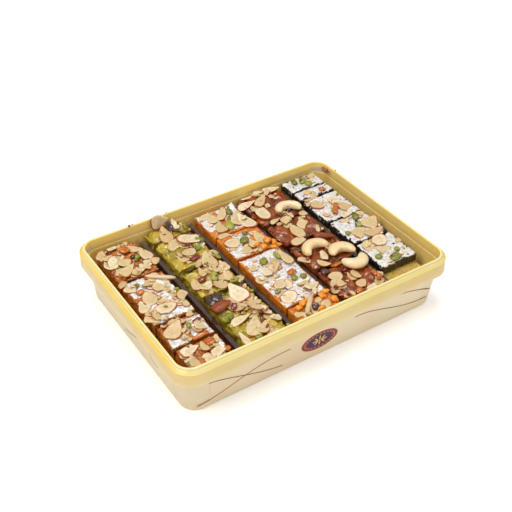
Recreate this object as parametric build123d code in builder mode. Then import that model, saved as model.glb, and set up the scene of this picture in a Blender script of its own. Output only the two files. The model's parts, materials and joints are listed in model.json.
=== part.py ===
from build123d import *
import math
import os

# A moulded plastic mithai tub with a clear five-channel insert and its sweets.
# Millimetres, +Z up, +X along the tub, +Y from its front to its back.
# The origin is on the table, under the middle of the tub.

os.makedirs("parts", exist_ok=True)

# ---- Tub ------------------------------------------------------------------
tub_length = 250.0  # over the foot of the rim skirt
tub_width = 181.5  # over the foot of the rim skirt
tub_height = 49.5
lip_corner = 13.4  # outside corner radius of the lip
lip_thickness = 2.0
lip_rise = 1.3  # upright side of the lip, above the sloping ledge
lip_round = 0.5
ledge_reach = 2.7  # how far the ledge stands out from the lip
ledge_fall = 2.0
bead_reach = 0.3
bead_height = 0.8
skirt_depth = 14.8  # from the top of the lip to the foot of the skirt
skirt_flare = 0.8
skirt_thickness = 1.0
wall_thickness = 1.3
wall_draft = 5.08  # degrees
wall_top_inset = 0.4  # the wall's face lies this far inside the lip's
wall_corner = 13.6  # upright corners of the wall
base_round = 3.0
floor_thickness = 1.6
floor_round = 2.4
shoulder_depth = 10.0  # stacking shoulder, below the top of the lip
foot_ring_width = 4.0
foot_recess = 0.6

# ---- Printed labels moulded into the four walls --------------------------------
label_thickness = 0.2
label_corner = 6.0
label_end_gap = 4.0  # between the label and the rounded corner
label_low_gap = 1.5  # above the rounded bottom edge
label_high_gap = 0.6  # below the skirt

# ---- Clear insert tray ----------------------------------------------------------
row_names = ("almond", "pista", "kesar", "fig", "chocolate")  # one channel for each
sheet = 0.6
tray_clearance = 0.7  # between the tray and the tub's wall
tray_round = 2.4
tray_rim_depth = 5.0  # tray rim, below the top of the lip
flange_reach = 0.9
ridge_depth = 12.5  # ridge tops, below the top of the lip
ridge_width = 3.6  # across the top of a ridge
ridge_draft = 1.2  # each flank's lean over its height
outer_margin = 4.0  # extra room at the outer side of the first and last channel

# ---- Sweets -----------------------------------------------------------------------
headspace = 7.0  # from the sweets' tops to the top of the lip
upper_height = 20.5  # height of the upper layer
side_clearance = 0.4  # between a lower slab and its channel
end_clearance = 0.6  # between a row's end and the tray
knife_cut = 1.2
edge_break = 0.7
settle = 0.4  # every other piece has sunk this much
outer_row_shift = -1.3  # the first and last rows lie off their channel's middle

almond_narrower = 3.5  # than the slab below
almond_portions = (46.5, 57.0, 28.0, 25.0)
pista_portions = (17.0, 43.0, 36.0, 62.0)
kesar_portions = (36.0, 34.0, 68.0, 18.0)
fig_portions = (47.0, 32.0, 38.0, 43.0)
chocolate_narrower = 2.9  # than the slab below
chocolate_portions = (19.5, 13.5, 38.0, 35.5, 36.5)
chocolate_height = 8.5
chocolate_front_gap = 17.0
cream_front_gap = 7.0
short_row_gap = 4.0  # the almond and kesar rows stop this far from the back

swell_clearance = 0.5  # a loaf's bulge starts this far above the ridges
swell_rise = 1.8  # height over which a loaf swells to its full width
fig_bulge = 3.7
fig_shoulder = 6.5  # how far the rounded shoulder runs in over the top
pista_bulge = 0.8
pista_shoulder = 6.0

# ---- Nuts -------------------------------------------------------------------------
nut_sides = 8
nut_point = 0.25  # how much narrower the tip is
flake_length = 16.5
flake_width = 11.5
flake_thickness = 1.1
flake_pitch = 18.0
flake_turn = 37.0  # degrees from one flake to the next
leaning_tilt = 15.0  # degrees back, of the flake that stands at the back of the pista row
leaning_across = -3.0  # from the middle of the row
leaning_gap = 0.4  # from the back of its piece
pistachio_length = 8.0
pistachio_width = 3.4
pistachio_thickness = 2.2
sliver_pitch = 15.0
cashew_bend = 7.6  # radius of the crescent's middle line
cashew_girth = 8.6  # across the nut, in plan
cashew_thickness = 6.4
cashew_arc = 190.0  # degrees
cashew_tip = 0.55  # girth of its drawn-in ends, against the full girth
cashew_steps = 8
cashew_chamfer = 1.7
# Each cashew: its piece, mm across from the row's middle, mm from the piece's back, turn
cashew_places = (
    (1, 11.2, 34.9, -15.0),
    (3, -5.3, 14.9, 0.0),
    (3, 13.7, 28.4, -15.0),
    (4, 14.1, 5.4, 180.0),
)

# ---- Levels and insets worked out from the sizes above ----------------------
rim_reach = ledge_reach + skirt_flare
rim_length = tub_length - 2 * rim_reach
rim_width = tub_width - 2 * rim_reach
ledge_top = tub_height - lip_rise
bead_top = ledge_top - ledge_fall
bead_foot = bead_top - bead_height
skirt_foot = tub_height - skirt_depth
shoulder = tub_height - shoulder_depth
tray_rim = tub_height - tray_rim_depth
ridge_top = tub_height - ridge_depth
tray_floor = floor_thickness + sheet
sweets_top = tub_height - headspace
slab_top = sweets_top - upper_height
cream_top = sweets_top - chocolate_height
sheet_gap = wall_thickness + tray_clearance
channel_count = len(row_names)


def wall_inset(level):
    """How far the tub's outer wall lies inside the lip's outline at a level."""
    return wall_top_inset + (tub_height - level) * math.tan(math.radians(wall_draft))


def outline(level, inset, corner):
    """Rounded outline at a level, set in from the lip's outline."""
    with BuildSketch(Plane.XY.offset(level)) as loop:
        RectangleRounded(rim_length - 2 * inset, rim_width - 2 * inset, corner)
    return loop.sketch


def rim_outline(level, reach):
    """Outline that stands out from the lip, or lies inside it if reach is negative."""
    return outline(level, -reach, lip_corner + reach)


def drafted(low, high, depth=0.0):
    """The drafted wall's form between two levels, or that of a shell at a depth inside it."""
    inset = wall_inset(low) + depth
    with BuildPart() as form:
        with BuildSketch(Plane.XY.offset(low)):
            Rectangle(rim_length - 2 * inset, rim_width - 2 * inset)
        extrude(amount=high - low)
        sides = form.faces().filter_by(Axis.Z, reverse=True)
        draft(sides, Plane.XY.offset(low), -wall_draft)
        fillet(form.edges().group_by(Axis.Z)[1], wall_corner - depth)
    return form.part


def face_at(part, level):
    """The largest flat face that lies at one level."""
    flat = part.faces().filter_by(GeomType.PLANE).filter_by(Axis.Z)
    at_level = flat.filter_by_position(Axis.Z, level - 0.01, level + 0.01)
    return at_level.sort_by(SortBy.AREA)[-1]


# ---- Tub: drafted wall, stacking shoulder, lip, ledge, bead and hanging skirt ----
with BuildPart() as tub:
    loft([rim_outline(skirt_foot, rim_reach), rim_outline(bead_foot, ledge_reach)], ruled=True)
    extrude(rim_outline(bead_foot, ledge_reach + bead_reach), amount=bead_height)
    loft([rim_outline(bead_top, ledge_reach), rim_outline(ledge_top, 0)], ruled=True)
    skirt_room = [
        rim_outline(skirt_foot, rim_reach - skirt_thickness),
        rim_outline(bead_foot, ledge_reach - skirt_thickness),
    ]
    loft(skirt_room, ruled=True, mode=Mode.SUBTRACT)
    extrude(rim_outline(ledge_top, 0), amount=lip_rise)
    add(drafted(0, tub_height))
    fillet(face_at(tub, 0).edges(), base_round)
    add(drafted(floor_thickness, shoulder, wall_thickness), mode=Mode.SUBTRACT)
    fillet(face_at(tub, floor_thickness).edges(), floor_round)
    extrude(rim_outline(shoulder, -lip_thickness), amount=shoulder_depth, mode=Mode.SUBTRACT)
    fillet(face_at(tub, tub_height).edges(), lip_round)
    foot_inset = base_round + foot_ring_width
    recess = outline(0, wall_inset(0) + foot_inset, wall_corner - foot_inset)
    extrude(recess, amount=foot_recess, mode=Mode.SUBTRACT)
tub.part.label = "tub"
export_step(tub.part, "parts/tub.step")


# ---- Labels: thin printed films that lie in the flat of each drafted wall ----
def wall_label(name, plane, wall_run):
    """One label: the wall's skin, cut to a rounded panel that faces along the plane."""
    low = base_round + label_low_gap
    high = skirt_foot - label_high_gap
    run = wall_run - 2 * (wall_inset(0) + wall_corner + label_end_gap)
    with BuildPart() as film:
        add(drafted(low, high, -label_thickness))
        add(drafted(low, high), mode=Mode.SUBTRACT)
        with BuildSketch(plane) as panel:
            with Locations((0, (low + high) / 2)):
                RectangleRounded(run, high - low, label_corner)
        extrude(panel.sketch, amount=tub_length, mode=Mode.INTERSECT)
    film.part.label = name
    export_step(film.part, "parts/" + name + ".step")


wall_label("label_front", Plane.front, rim_length)
wall_label("label_back", Plane.back, rim_length)
wall_label("label_right", Plane.right, rim_width)
wall_label("label_left", Plane.left, rim_width)


# ---- Insert tray: one thin sheet with hollow ridges between its channels ----
def tray_form(low, depth=0.0):
    """The tray's form from a level up to its rim, or that of a shell at a depth inside it."""
    with BuildPart() as form:
        add(drafted(low, shoulder, sheet_gap + depth))
        extrude(face_at(form, shoulder), amount=tray_rim - shoulder)
    return form.part


tray_half_length = rim_length / 2 - wall_inset(ridge_top) - sheet_gap
channel_room = 2 * (tray_half_length - outer_margin) + ridge_width
channel_pitch = channel_room / channel_count
ridge_half_foot = ridge_width / 2 + ridge_draft


def channel_middle(row):
    """Where the middle of a channel lies, counted from the left."""
    return (row - (channel_count + 1) / 2) * channel_pitch


def ridges(foot, crown, thinner):
    """Trapezium ridges between the channels, from foot to crown, each side thinner."""
    with BuildPart() as bars:
        with BuildSketch(Plane.XZ):
            for gap in range(1, channel_count):
                middle = (channel_middle(gap) + channel_middle(gap + 1)) / 2
                foot_half = ridge_half_foot - thinner
                crown_half = ridge_width / 2 - thinner
                with BuildLine():
                    Polyline(
                        (middle - foot_half, foot),
                        (middle + foot_half, foot),
                        (middle + crown_half, crown),
                        (middle - crown_half, crown),
                        close=True,
                    )
                make_face()
        extrude(amount=tub_width / 2, both=True)
    return bars.part


with BuildPart() as channel_space:
    add(tray_form(tray_floor, sheet))
    fillet(face_at(channel_space, tray_floor).edges(), tray_round - sheet)
    add(ridges(tray_floor, ridge_top, 0), mode=Mode.SUBTRACT)

with BuildPart() as ridge_space:
    add(drafted(floor_thickness, ridge_top, sheet_gap + sheet))
    add(ridges(floor_thickness, ridge_top - sheet, sheet), mode=Mode.INTERSECT)

with BuildPart() as insert_tray:
    add(tray_form(floor_thickness))
    fillet(face_at(insert_tray, floor_thickness).edges(), tray_round)
    flange_depth = sheet_gap - flange_reach
    flange = outline(tray_rim, wall_inset(shoulder) + flange_depth, wall_corner - flange_depth)
    extrude(flange, amount=-sheet)
    add(channel_space.part, mode=Mode.SUBTRACT)
    add(ridge_space.part, mode=Mode.SUBTRACT)
insert_tray.part.label = "insert_tray"
export_step(insert_tray.part, "parts/insert_tray.step")


# ---- Sweets: lower slabs, cut barfi and pressed loaves -------------------------
def row_middle(name):
    """Where the middle of a named row lies; the outer rows lie off their channel's middle."""
    row = row_names.index(name) + 1
    return channel_middle(row) + (outer_row_shift if row in (1, channel_count) else 0)


def export_piece(part, name):
    """Label a finished piece and write it."""
    part.label = name
    export_step(part, "parts/" + name + ".step")


def cut_spans(portions, back, front):
    """Share a row out, from its back, into pieces with a knife cut between them."""
    usable = back - front - knife_cut * (len(portions) - 1)
    spans = []
    edge = back
    for portion in portions:
        length = usable * portion / sum(portions)
        spans.append((edge - length, edge))
        edge = edge - length - knife_cut
    return spans


def piece_top(number):
    """Top of a piece: every other one has settled a little."""
    return sweets_top - settle * (number % 2)


def barfi(middle, width, span, bottom, top):
    """A piece of barfi: cut sides, and a top whose edges are slightly worn."""
    front, back = span
    with BuildPart() as piece:
        with BuildSketch(Plane.XY.offset(bottom)):
            with Locations((middle, (front + back) / 2)):
                Rectangle(width, back - front)
        extrude(amount=top - bottom)
        add(upper_room, mode=Mode.INTERSECT)
        chamfer(face_at(piece, top).edges(), edge_break)
    return piece.part


def loaf(middle, width, span, top, bulge, shoulder_run):
    """A piece of pressed loaf, which swells out over the ridges beside its channel."""
    front, back = span
    swell = ridge_top + swell_clearance
    side = width / 2
    belly = swell + swell_rise
    inner = side - shoulder_run
    with BuildPart() as piece:
        with BuildSketch(Plane.XZ.offset(-back)):
            with BuildLine():
                crown = EllipticalCenterArc(
                    (inner, belly), bulge + shoulder_run, top - belly, arc_size=90
                )
                flank = Polyline((0, slab_top), (side, slab_top), (side, swell), crown @ 0)
                cap = Line(crown @ 1, (0, top))
                mirror([flank, crown, cap], about=Plane.YZ)
            make_face()
        extrude(amount=back - front)
    return piece.part.moved(Location((middle, 0, 0)))


# The tray's inside, drawn in, rounds off the sweets that lie in its corners.
upper_room = tray_form(tray_floor, sheet + end_clearance)
lower_room = tray_form(tray_floor, tray_round + end_clearance)
row_end = rim_width / 2 - wall_inset(slab_top) - sheet_gap - sheet - end_clearance
slab_width = channel_pitch - 2 * ridge_half_foot - 2 * side_clearance
almond_width = slab_width - almond_narrower
chocolate_width = slab_width - chocolate_narrower

for row in range(1, channel_count + 1):
    with BuildPart() as slab:
        with BuildSketch(Plane.XY.offset(tray_floor)):
            with Locations((channel_middle(row), 0)):
                Rectangle(slab_width, rim_width)
        extrude(amount=slab_top - tray_floor)
        add(lower_room, mode=Mode.INTERSECT)
    export_piece(slab.part, "lower_slab_" + str(row))

cream_span = (cream_front_gap - row_end, row_end)
cream = barfi(row_middle("chocolate"), chocolate_width, cream_span, slab_top, cream_top)
export_piece(cream, "cream_layer")

almond_spans = cut_spans(almond_portions, row_end - short_row_gap, -row_end)
for number, span in enumerate(almond_spans, 1):
    piece = barfi(row_middle("almond"), almond_width, span, slab_top, piece_top(number))
    export_piece(piece, "almond_barfi_" + str(number))

pista_spans = cut_spans(pista_portions, row_end, -row_end)
for number, span in enumerate(pista_spans, 1):
    top = piece_top(number)
    piece = loaf(row_middle("pista"), slab_width, span, top, pista_bulge, pista_shoulder)
    export_piece(piece, "pista_loaf_" + str(number))

kesar_spans = cut_spans(kesar_portions, row_end - short_row_gap, -row_end)
for number, span in enumerate(kesar_spans, 1):
    piece = barfi(row_middle("kesar"), slab_width, span, slab_top, piece_top(number))
    export_piece(piece, "kesar_barfi_" + str(number))

fig_spans = cut_spans(fig_portions, row_end, -row_end)
for number, span in enumerate(fig_spans, 1):
    top = piece_top(number)
    piece = loaf(row_middle("fig"), slab_width, span, top, fig_bulge, fig_shoulder)
    export_piece(piece, "fig_roll_" + str(number))

chocolate_spans = cut_spans(chocolate_portions, row_end, chocolate_front_gap - row_end)
for number, span in enumerate(chocolate_spans, 1):
    top = piece_top(number)
    piece = barfi(row_middle("chocolate"), chocolate_width, span, cream_top, top)
    export_piece(piece, "chocolate_barfi_" + str(number))


# ---- Nuts, which lie flat on the sweets ------------------------------------------
def nut_outline(length, width, turn):
    """Faceted nut outline, drawn in towards one end, turned by some degrees."""
    points = []
    for corner in range(nut_sides):
        angle = 2 * math.pi * corner / nut_sides
        narrowing = 1 - nut_point * math.cos(angle)
        points.append((length / 2 * math.cos(angle), width / 2 * math.sin(angle) * narrowing))
    return Polygon(*points, rotation=turn)


def flakes(middle, width, span, top):
    """Sliced almonds in two columns on the flat top of one piece, each turned further."""
    front, back = span
    count = max(1, int((back - front) // flake_pitch))
    pitch = (back - front) / count
    size = min(1, pitch / flake_pitch, width / 2 / flake_pitch)
    with BuildPart() as slices:
        with BuildSketch(Plane.XY.offset(top)):
            for index in range(count):
                for side in (-1, 1):
                    with Locations((middle + side * width / 4, back - pitch * (index + 0.5))):
                        turn = flake_turn * (2 * index + side)
                        nut_outline(size * flake_length, size * flake_width, turn)
        extrude(amount=flake_thickness)
    return slices.part


def slivers(middle, width, span, top):
    """Green pistachio slivers in a slanting line over one piece."""
    front, back = span
    count = max(2, int((back - front) // sliver_pitch) + 1)
    with BuildPart() as pieces:
        with BuildSketch(Plane.XY.offset(top)):
            for index in range(count):
                share = (index + 0.5) / count
                with Locations((middle + width * (share - 0.5), back - (back - front) * share)):
                    nut_outline(pistachio_length, pistachio_width, flake_turn * (index + 1))
        extrude(amount=pistachio_thickness)
    return pieces.part


def leaning_flake(middle, back, top):
    """A sliced almond that stands on its long edge and leans towards the back."""
    tilt = math.radians(leaning_tilt)
    foot = (middle + leaning_across, back - leaning_gap, top)
    face = Plane(foot, x_dir=(1, 0, 0), z_dir=(0, -math.cos(tilt), math.sin(tilt)))
    with BuildPart() as slice_part:
        with BuildSketch(face):
            with Locations((0, flake_width / 2)):
                nut_outline(flake_length, flake_width, 0)
        extrude(amount=flake_thickness)
    return slice_part.part


def cashew_side(radius, edge):
    """Points along a cashew's outer or inner side, which draw in at both ends."""
    points = []
    for step in range(cashew_steps + 1):
        angle = math.radians(90 + cashew_arc * (step / cashew_steps - 0.5))
        share = cashew_tip if step in (0, cashew_steps) else 1
        reach = radius + share * edge
        points.append((reach * math.cos(angle), reach * math.sin(angle)))
    return points


def cashew(middle, along, top, turn):
    """A whole cashew on its flat side, its edges worn round."""
    outer = cashew_side(cashew_bend, cashew_girth / 2)
    inner = cashew_side(cashew_bend, -cashew_girth / 2)
    with BuildPart() as nut:
        with BuildSketch(Plane((middle, along, top)).rotated((0, 0, turn))):
            Polygon(*outer, *reversed(inner), align=None)
        extrude(amount=cashew_thickness)
        level_faces = nut.faces().filter_by(Axis.Z)
        chamfer(level_faces.edges(), cashew_chamfer)
    return nut.part


def flat_width(width, shoulder_run):
    """Width of the flat top between a loaf's rounded shoulders."""
    return width - 2 * shoulder_run


flaked_rows = (
    ("almond", almond_spans, almond_width),
    ("pista", pista_spans, flat_width(slab_width, pista_shoulder)),
    ("kesar", kesar_spans, slab_width),
)
for name, spans, width in flaked_rows:
    for number, span in enumerate(spans, 1):
        slices = flakes(row_middle(name), width, span, piece_top(number))
        if (name, number) == ("pista", 1):
            slices = slices + leaning_flake(row_middle(name), span[1], piece_top(number))
        export_piece(slices, name + "_flakes_" + str(number))

fig_flat = flat_width(slab_width, fig_shoulder)
fig_slices = flakes(row_middle("fig"), fig_flat, fig_spans[1], piece_top(2))
export_piece(fig_slices, "fig_flakes_2")
for number in sorted({place[0] for place in cashew_places}):
    with BuildPart() as nuts:
        for piece_number, across, from_back, turn in cashew_places:
            if piece_number == number:
                along = fig_spans[number - 1][1] - from_back
                add(cashew(row_middle("fig") + across, along, piece_top(number), turn))
    export_piece(nuts.part, "fig_cashews_" + str(number))

for number in (3, 4):
    span = chocolate_spans[number - 1]
    slices = flakes(row_middle("chocolate"), chocolate_width, span, piece_top(number))
    export_piece(slices, "chocolate_flakes_" + str(number))
for number in (1, 5):
    span = chocolate_spans[number - 1]
    green = slivers(row_middle("chocolate"), chocolate_width, span, piece_top(number))
    export_piece(green, "chocolate_pistachios_" + str(number))
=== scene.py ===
"""Looks of a moulded sweet box filled with five rows of nut-topped Indian sweets.

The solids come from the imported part. This script dresses them: grained sweets, crinkled silver leaf,
sliced nuts, candied fruit, crumbs and the print on the labels. Lengths are metres unless a name says mm.
"""

import json
import logging
import math
from collections.abc import Iterable, Sequence
from dataclasses import dataclass
from enum import Enum
from functools import cache

import bmesh
import bpy
import numpy as np
from mathutils import Matrix, Vector
from mathutils.bvhtree import BVHTree

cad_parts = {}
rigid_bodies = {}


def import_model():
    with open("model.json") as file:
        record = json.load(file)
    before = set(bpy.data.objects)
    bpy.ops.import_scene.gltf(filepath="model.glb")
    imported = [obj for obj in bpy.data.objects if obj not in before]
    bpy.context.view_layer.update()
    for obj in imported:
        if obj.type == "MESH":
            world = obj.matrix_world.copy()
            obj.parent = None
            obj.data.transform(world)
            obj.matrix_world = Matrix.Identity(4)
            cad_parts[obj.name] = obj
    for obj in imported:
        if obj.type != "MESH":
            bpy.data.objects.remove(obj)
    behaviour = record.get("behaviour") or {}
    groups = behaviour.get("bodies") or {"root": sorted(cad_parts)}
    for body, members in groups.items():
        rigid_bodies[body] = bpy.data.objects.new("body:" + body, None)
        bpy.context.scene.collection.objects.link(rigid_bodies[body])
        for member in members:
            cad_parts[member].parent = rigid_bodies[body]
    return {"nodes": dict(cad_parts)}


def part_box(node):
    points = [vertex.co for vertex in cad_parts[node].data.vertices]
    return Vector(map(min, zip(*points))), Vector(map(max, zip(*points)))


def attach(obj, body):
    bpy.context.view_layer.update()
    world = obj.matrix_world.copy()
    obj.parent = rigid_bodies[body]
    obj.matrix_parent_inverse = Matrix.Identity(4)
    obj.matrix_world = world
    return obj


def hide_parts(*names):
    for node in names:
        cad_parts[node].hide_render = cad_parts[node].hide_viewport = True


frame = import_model()

LOG = logging.getLogger("sweet_box")
Socket = bpy.types.NodeSocket
Value = bpy.types.NodeSocket | float | str  # the output of another node or a constant
MM = 0.001
SEED = 41

# ---------------------------------------------------------------- colour and noise


def linear(code: str) -> tuple[float, float, float, float]:
    """Turns an sRGB hex colour such as "#e8d7ad" into linear RGBA."""
    channels = (int(code[i : i + 2], 16) / 255 for i in (1, 3, 5))
    return (*(c / 12.92 if c <= 0.04045 else ((c + 0.055) / 1.055) ** 2.4 for c in channels), 1.0)


def lattice(cells: np.ndarray, seed: int) -> np.ndarray:
    """Gives every whole-numbered cell a fixed value from 0 to 1.

    Args:
        cells: whole numbers, three to a row.
        seed: which of the many fields to read.

    Returns:
        One value for each row.
    """
    h = cells[..., 0] * 374761393 + cells[..., 1] * 668265263 + cells[..., 2] * 2147483647 + seed * 974634777
    h = (h ^ (h >> 13)) * 1274126177
    h = (h ^ (h >> 16)) & 0xFFFFFF
    return h / float(0xFFFFFF)


def field(points: np.ndarray, cell: float, seed: int, octaves: int = 1) -> np.ndarray:
    """Smooth value noise from 0 to 1 at the points.

    Args:
        points: places, three to a row.
        cell: size of the largest lump, in the unit of the points.
        seed: which field to read.
        octaves: how many ever finer layers are added.

    Returns:
        One value for each point.
    """
    total = np.zeros(len(points))
    weight_sum = 0.0
    for level in range(octaves):
        p = points / (cell * 0.5**level)
        low = np.floor(p).astype(np.int64)
        f = p - low
        f = f * f * (3 - 2 * f)
        value = np.zeros(len(points))
        for corner in range(8):
            step = np.array([corner & 1, corner >> 1 & 1, corner >> 2 & 1])
            share = np.prod(np.where(step, f, 1 - f), axis=1)
            value += share * lattice(low + step, seed + level * 17)
        total += value * 0.5**level
        weight_sum += 0.5**level
    return total / weight_sum


def clumps(points: np.ndarray, cell: float, seed: int) -> np.ndarray:
    """Depth of the creases between lumps pressed together, 0 on a lump's middle and 1 in a crease.

    Args:
        points: places, three to a row.
        cell: size of a lump, in the unit of the points.
        seed: which field to read.

    Returns:
        One value for each point.
    """
    p = points / cell
    low = np.floor(p).astype(np.int64)
    nearest = np.full(len(points), 9.0)
    second = np.full(len(points), 9.0)
    for corner in range(27):
        home = low + np.array([corner % 3 - 1, corner // 3 % 3 - 1, corner // 9 - 1])
        middle = home + np.stack([lattice(home, seed + k) for k in range(3)], axis=1)
        far = np.linalg.norm(p - middle, axis=1)
        second = np.minimum(second, np.maximum(nearest, far))
        nearest = np.minimum(nearest, far)
    return np.clip(1 - (second - nearest) * 1.6, 0, 1) ** 2


# ---------------------------------------------------------------- meshes


def linked(name: str, data: bpy.types.ID) -> bpy.types.Object:
    """Puts an object around some data into the scene.

    Args:
        name: name of the object.
        data: its mesh, lamp or camera.

    Returns:
        The object.
    """
    obj = bpy.data.objects.new(name, data)
    bpy.context.scene.collection.objects.link(obj)
    return obj


def new_object(name: str, verts: Iterable, faces: Sequence, smooth: bool = True) -> bpy.types.Object:
    """Makes a linked mesh object from plain lists.

    Args:
        name: name of the object and its mesh.
        verts: places of the vertices.
        faces: numbers of the vertices of each face.
        smooth: whether the faces are shaded smooth.

    Returns:
        The object.
    """
    mesh = bpy.data.meshes.new(name)
    mesh.from_pydata([tuple(v) for v in verts], [], faces)
    mesh.update()
    mesh.polygons.foreach_set("use_smooth", [smooth] * len(mesh.polygons))
    return linked(name, mesh)


def baked(obj: bpy.types.Object) -> bpy.types.Object:
    """Turns the object's modifiers into its plain mesh.

    Args:
        obj: an object with live modifiers.

    Returns:
        The same object, with none left.
    """
    graph = bpy.context.evaluated_depsgraph_get()
    seen = obj.evaluated_get(graph)
    mesh = bpy.data.meshes.new_from_object(seen, preserve_all_data_layers=True, depsgraph=graph)
    obj.modifiers.clear()
    old = obj.data
    obj.data = mesh
    mesh.name = obj.name
    if old.users == 0:
        bpy.data.meshes.remove(old)
    return obj


def vectors(items: bpy.types.bpy_prop_collection, key: str) -> np.ndarray:
    """Reads one vector of every item of a mesh, such as the place of each vertex.

    Args:
        items: vertices or vertex normals.
        key: which vector of each to read.

    Returns:
        One row of three numbers for each item.
    """
    found = np.empty(len(items) * 3, np.float32)
    items.foreach_get(key, found)
    return found.reshape(-1, 3).astype(float)


def set_attribute(mesh: bpy.types.Mesh, name: str, values: Sequence, kind: str = "FLOAT") -> None:
    """Stores one value for each vertex under a name.

    Args:
        mesh: where it is stored.
        name: name of the attribute.
        values: one value for each vertex.
        kind: type of the values.
    """
    layer = mesh.attributes.get(name) or mesh.attributes.new(name, kind, "POINT")
    key = "vector" if kind == "FLOAT_VECTOR" else "value"
    layer.data.foreach_set(key, np.asarray(values).ravel())


def face_outwards(mesh: bpy.types.Mesh) -> None:
    """Turns the normals of a closed mesh outwards.

    Args:
        mesh: the mesh to mend.
    """
    work = bmesh.new()
    work.from_mesh(mesh)
    bmesh.ops.recalc_face_normals(work, faces=work.faces)
    work.to_mesh(mesh)
    work.free()


def band(low: int, high: int, count: int) -> list[tuple[int, ...]]:
    """Faces between two rings of vertices, each given by the number of its first vertex."""
    return [(low + i, low + (i + 1) % count, high + (i + 1) % count, high + i) for i in range(count)]


# ---------------------------------------------------------------- finishes


class Graph:
    """A node tree under construction."""

    tree: bpy.types.NodeTree

    def add(self, kind: str, inputs: dict | None = None, **settings: str | bool) -> bpy.types.Node:
        """Adds a node.

        Args:
            kind: type of the node.
            inputs: what goes into its inputs: outputs of other nodes, hex colours or other constants.
            settings: its properties.

        Returns:
            The node.
        """
        node = self.tree.nodes.new(kind)
        for key, value in settings.items():
            setattr(node, key, value)
        for key, value in (inputs or {}).items():
            self.feed(node.inputs[key], value)
        return node

    def feed(self, target: Socket, value: Value) -> None:
        """Puts an output, a hex colour or another constant into an input.

        Args:
            target: the input.
            value: what goes into it.
        """
        if isinstance(value, Socket):
            self.tree.links.new(value, target)
        else:
            target.default_value = linear(value) if str(value).startswith("#") else value


class Shader(Graph):
    """One material under construction."""

    def __init__(self, name: str) -> None:
        """Starts a material with a Principled shader and object coordinates in millimetres.

        Args:
            name: name of the material.
        """
        self.material = bpy.data.materials.new(name)
        self.material.use_nodes = True
        self.tree = self.material.node_tree
        self.tree.nodes.clear()
        self.bsdf = self.add("ShaderNodeBsdfPrincipled")
        self.add("ShaderNodeOutputMaterial", {"Surface": self.bsdf.outputs[0]})
        place = self.add("ShaderNodeTexCoord").outputs["Object"]
        self.mm = self.add("ShaderNodeVectorMath", {0: place, "Scale": 1 / MM}, operation="SCALE").outputs[0]

    def noise(self, size_mm: float, detail: float = 2.0, rough: float = 0.5) -> Socket:
        """Noise whose lumps are about size_mm across."""
        inputs = {"Vector": self.mm, "Scale": 1 / size_mm, "Detail": detail, "Roughness": rough}
        return self.add("ShaderNodeTexNoise", inputs).outputs["Fac"]

    def creases(self, size_mm: float) -> Socket:
        """Distance to the nearest border in a field of cells about size_mm across."""
        inputs = {"Vector": self.mm, "Scale": 1 / size_mm}
        return self.add("ShaderNodeTexVoronoi", inputs, feature="DISTANCE_TO_EDGE").outputs["Distance"]

    def attribute(self, name: str) -> Socket:
        """The number that the mesh stores under a name."""
        return self.add("ShaderNodeAttribute", attribute_name=name).outputs["Fac"]

    def remap(self, value: Value, low: float, high: float, to_low: float = 0.0, to_high: float = 1.0) -> Socket:
        """Maps a range of values to another one, with a smooth step."""
        inputs = {"Value": value, "From Min": low, "From Max": high, "To Min": to_low, "To Max": to_high}
        return self.add("ShaderNodeMapRange", inputs, interpolation_type="SMOOTHSTEP").outputs["Result"]

    def math(self, operation: str, a: Value, b: Value = 0.0) -> Socket:
        """One arithmetic step."""
        return self.add("ShaderNodeMath", {0: a, 1: b}, operation=operation).outputs[0]

    def times(self, a: Value, b: Value) -> Socket:
        """The product of two values."""
        return self.math("MULTIPLY", a, b)

    def axes(self) -> bpy.types.NodeOutputs:
        """The three object coordinates, in millimetres."""
        return self.add("ShaderNodeSeparateXYZ", {0: self.mm}).outputs

    def mix(self, factor: Value, first: Value, second: Value) -> Socket:
        """Blends two colours."""
        return self.add("ShaderNodeMix", {0: factor, 6: first, 7: second}, data_type="RGBA").outputs[2]

    def bump(self, height: Value, depth_mm: float, below: Socket | None = None) -> Socket:
        """Adds relief of a real depth.

        Args:
            height: the pattern, from 0 to 1.
            depth_mm: how deep it is.
            below: an earlier relief that this one lies over.

        Returns:
            The normal.
        """
        inputs = {"Height": height, "Strength": 1.0, "Distance": depth_mm * MM}
        if below is not None:
            inputs["Normal"] = below
        return self.add("ShaderNodeBump", inputs).outputs[0]

    def set(self, **values: Value) -> bpy.types.Material:
        """Sets the shader's own sockets.

        Args:
            values: what goes into each; an underscore in a key stands for a space.

        Returns:
            The finished material.
        """
        for key, value in values.items():
            self.feed(self.bsdf.inputs[key.replace("_", " ")], value)
        return self.material


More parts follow.
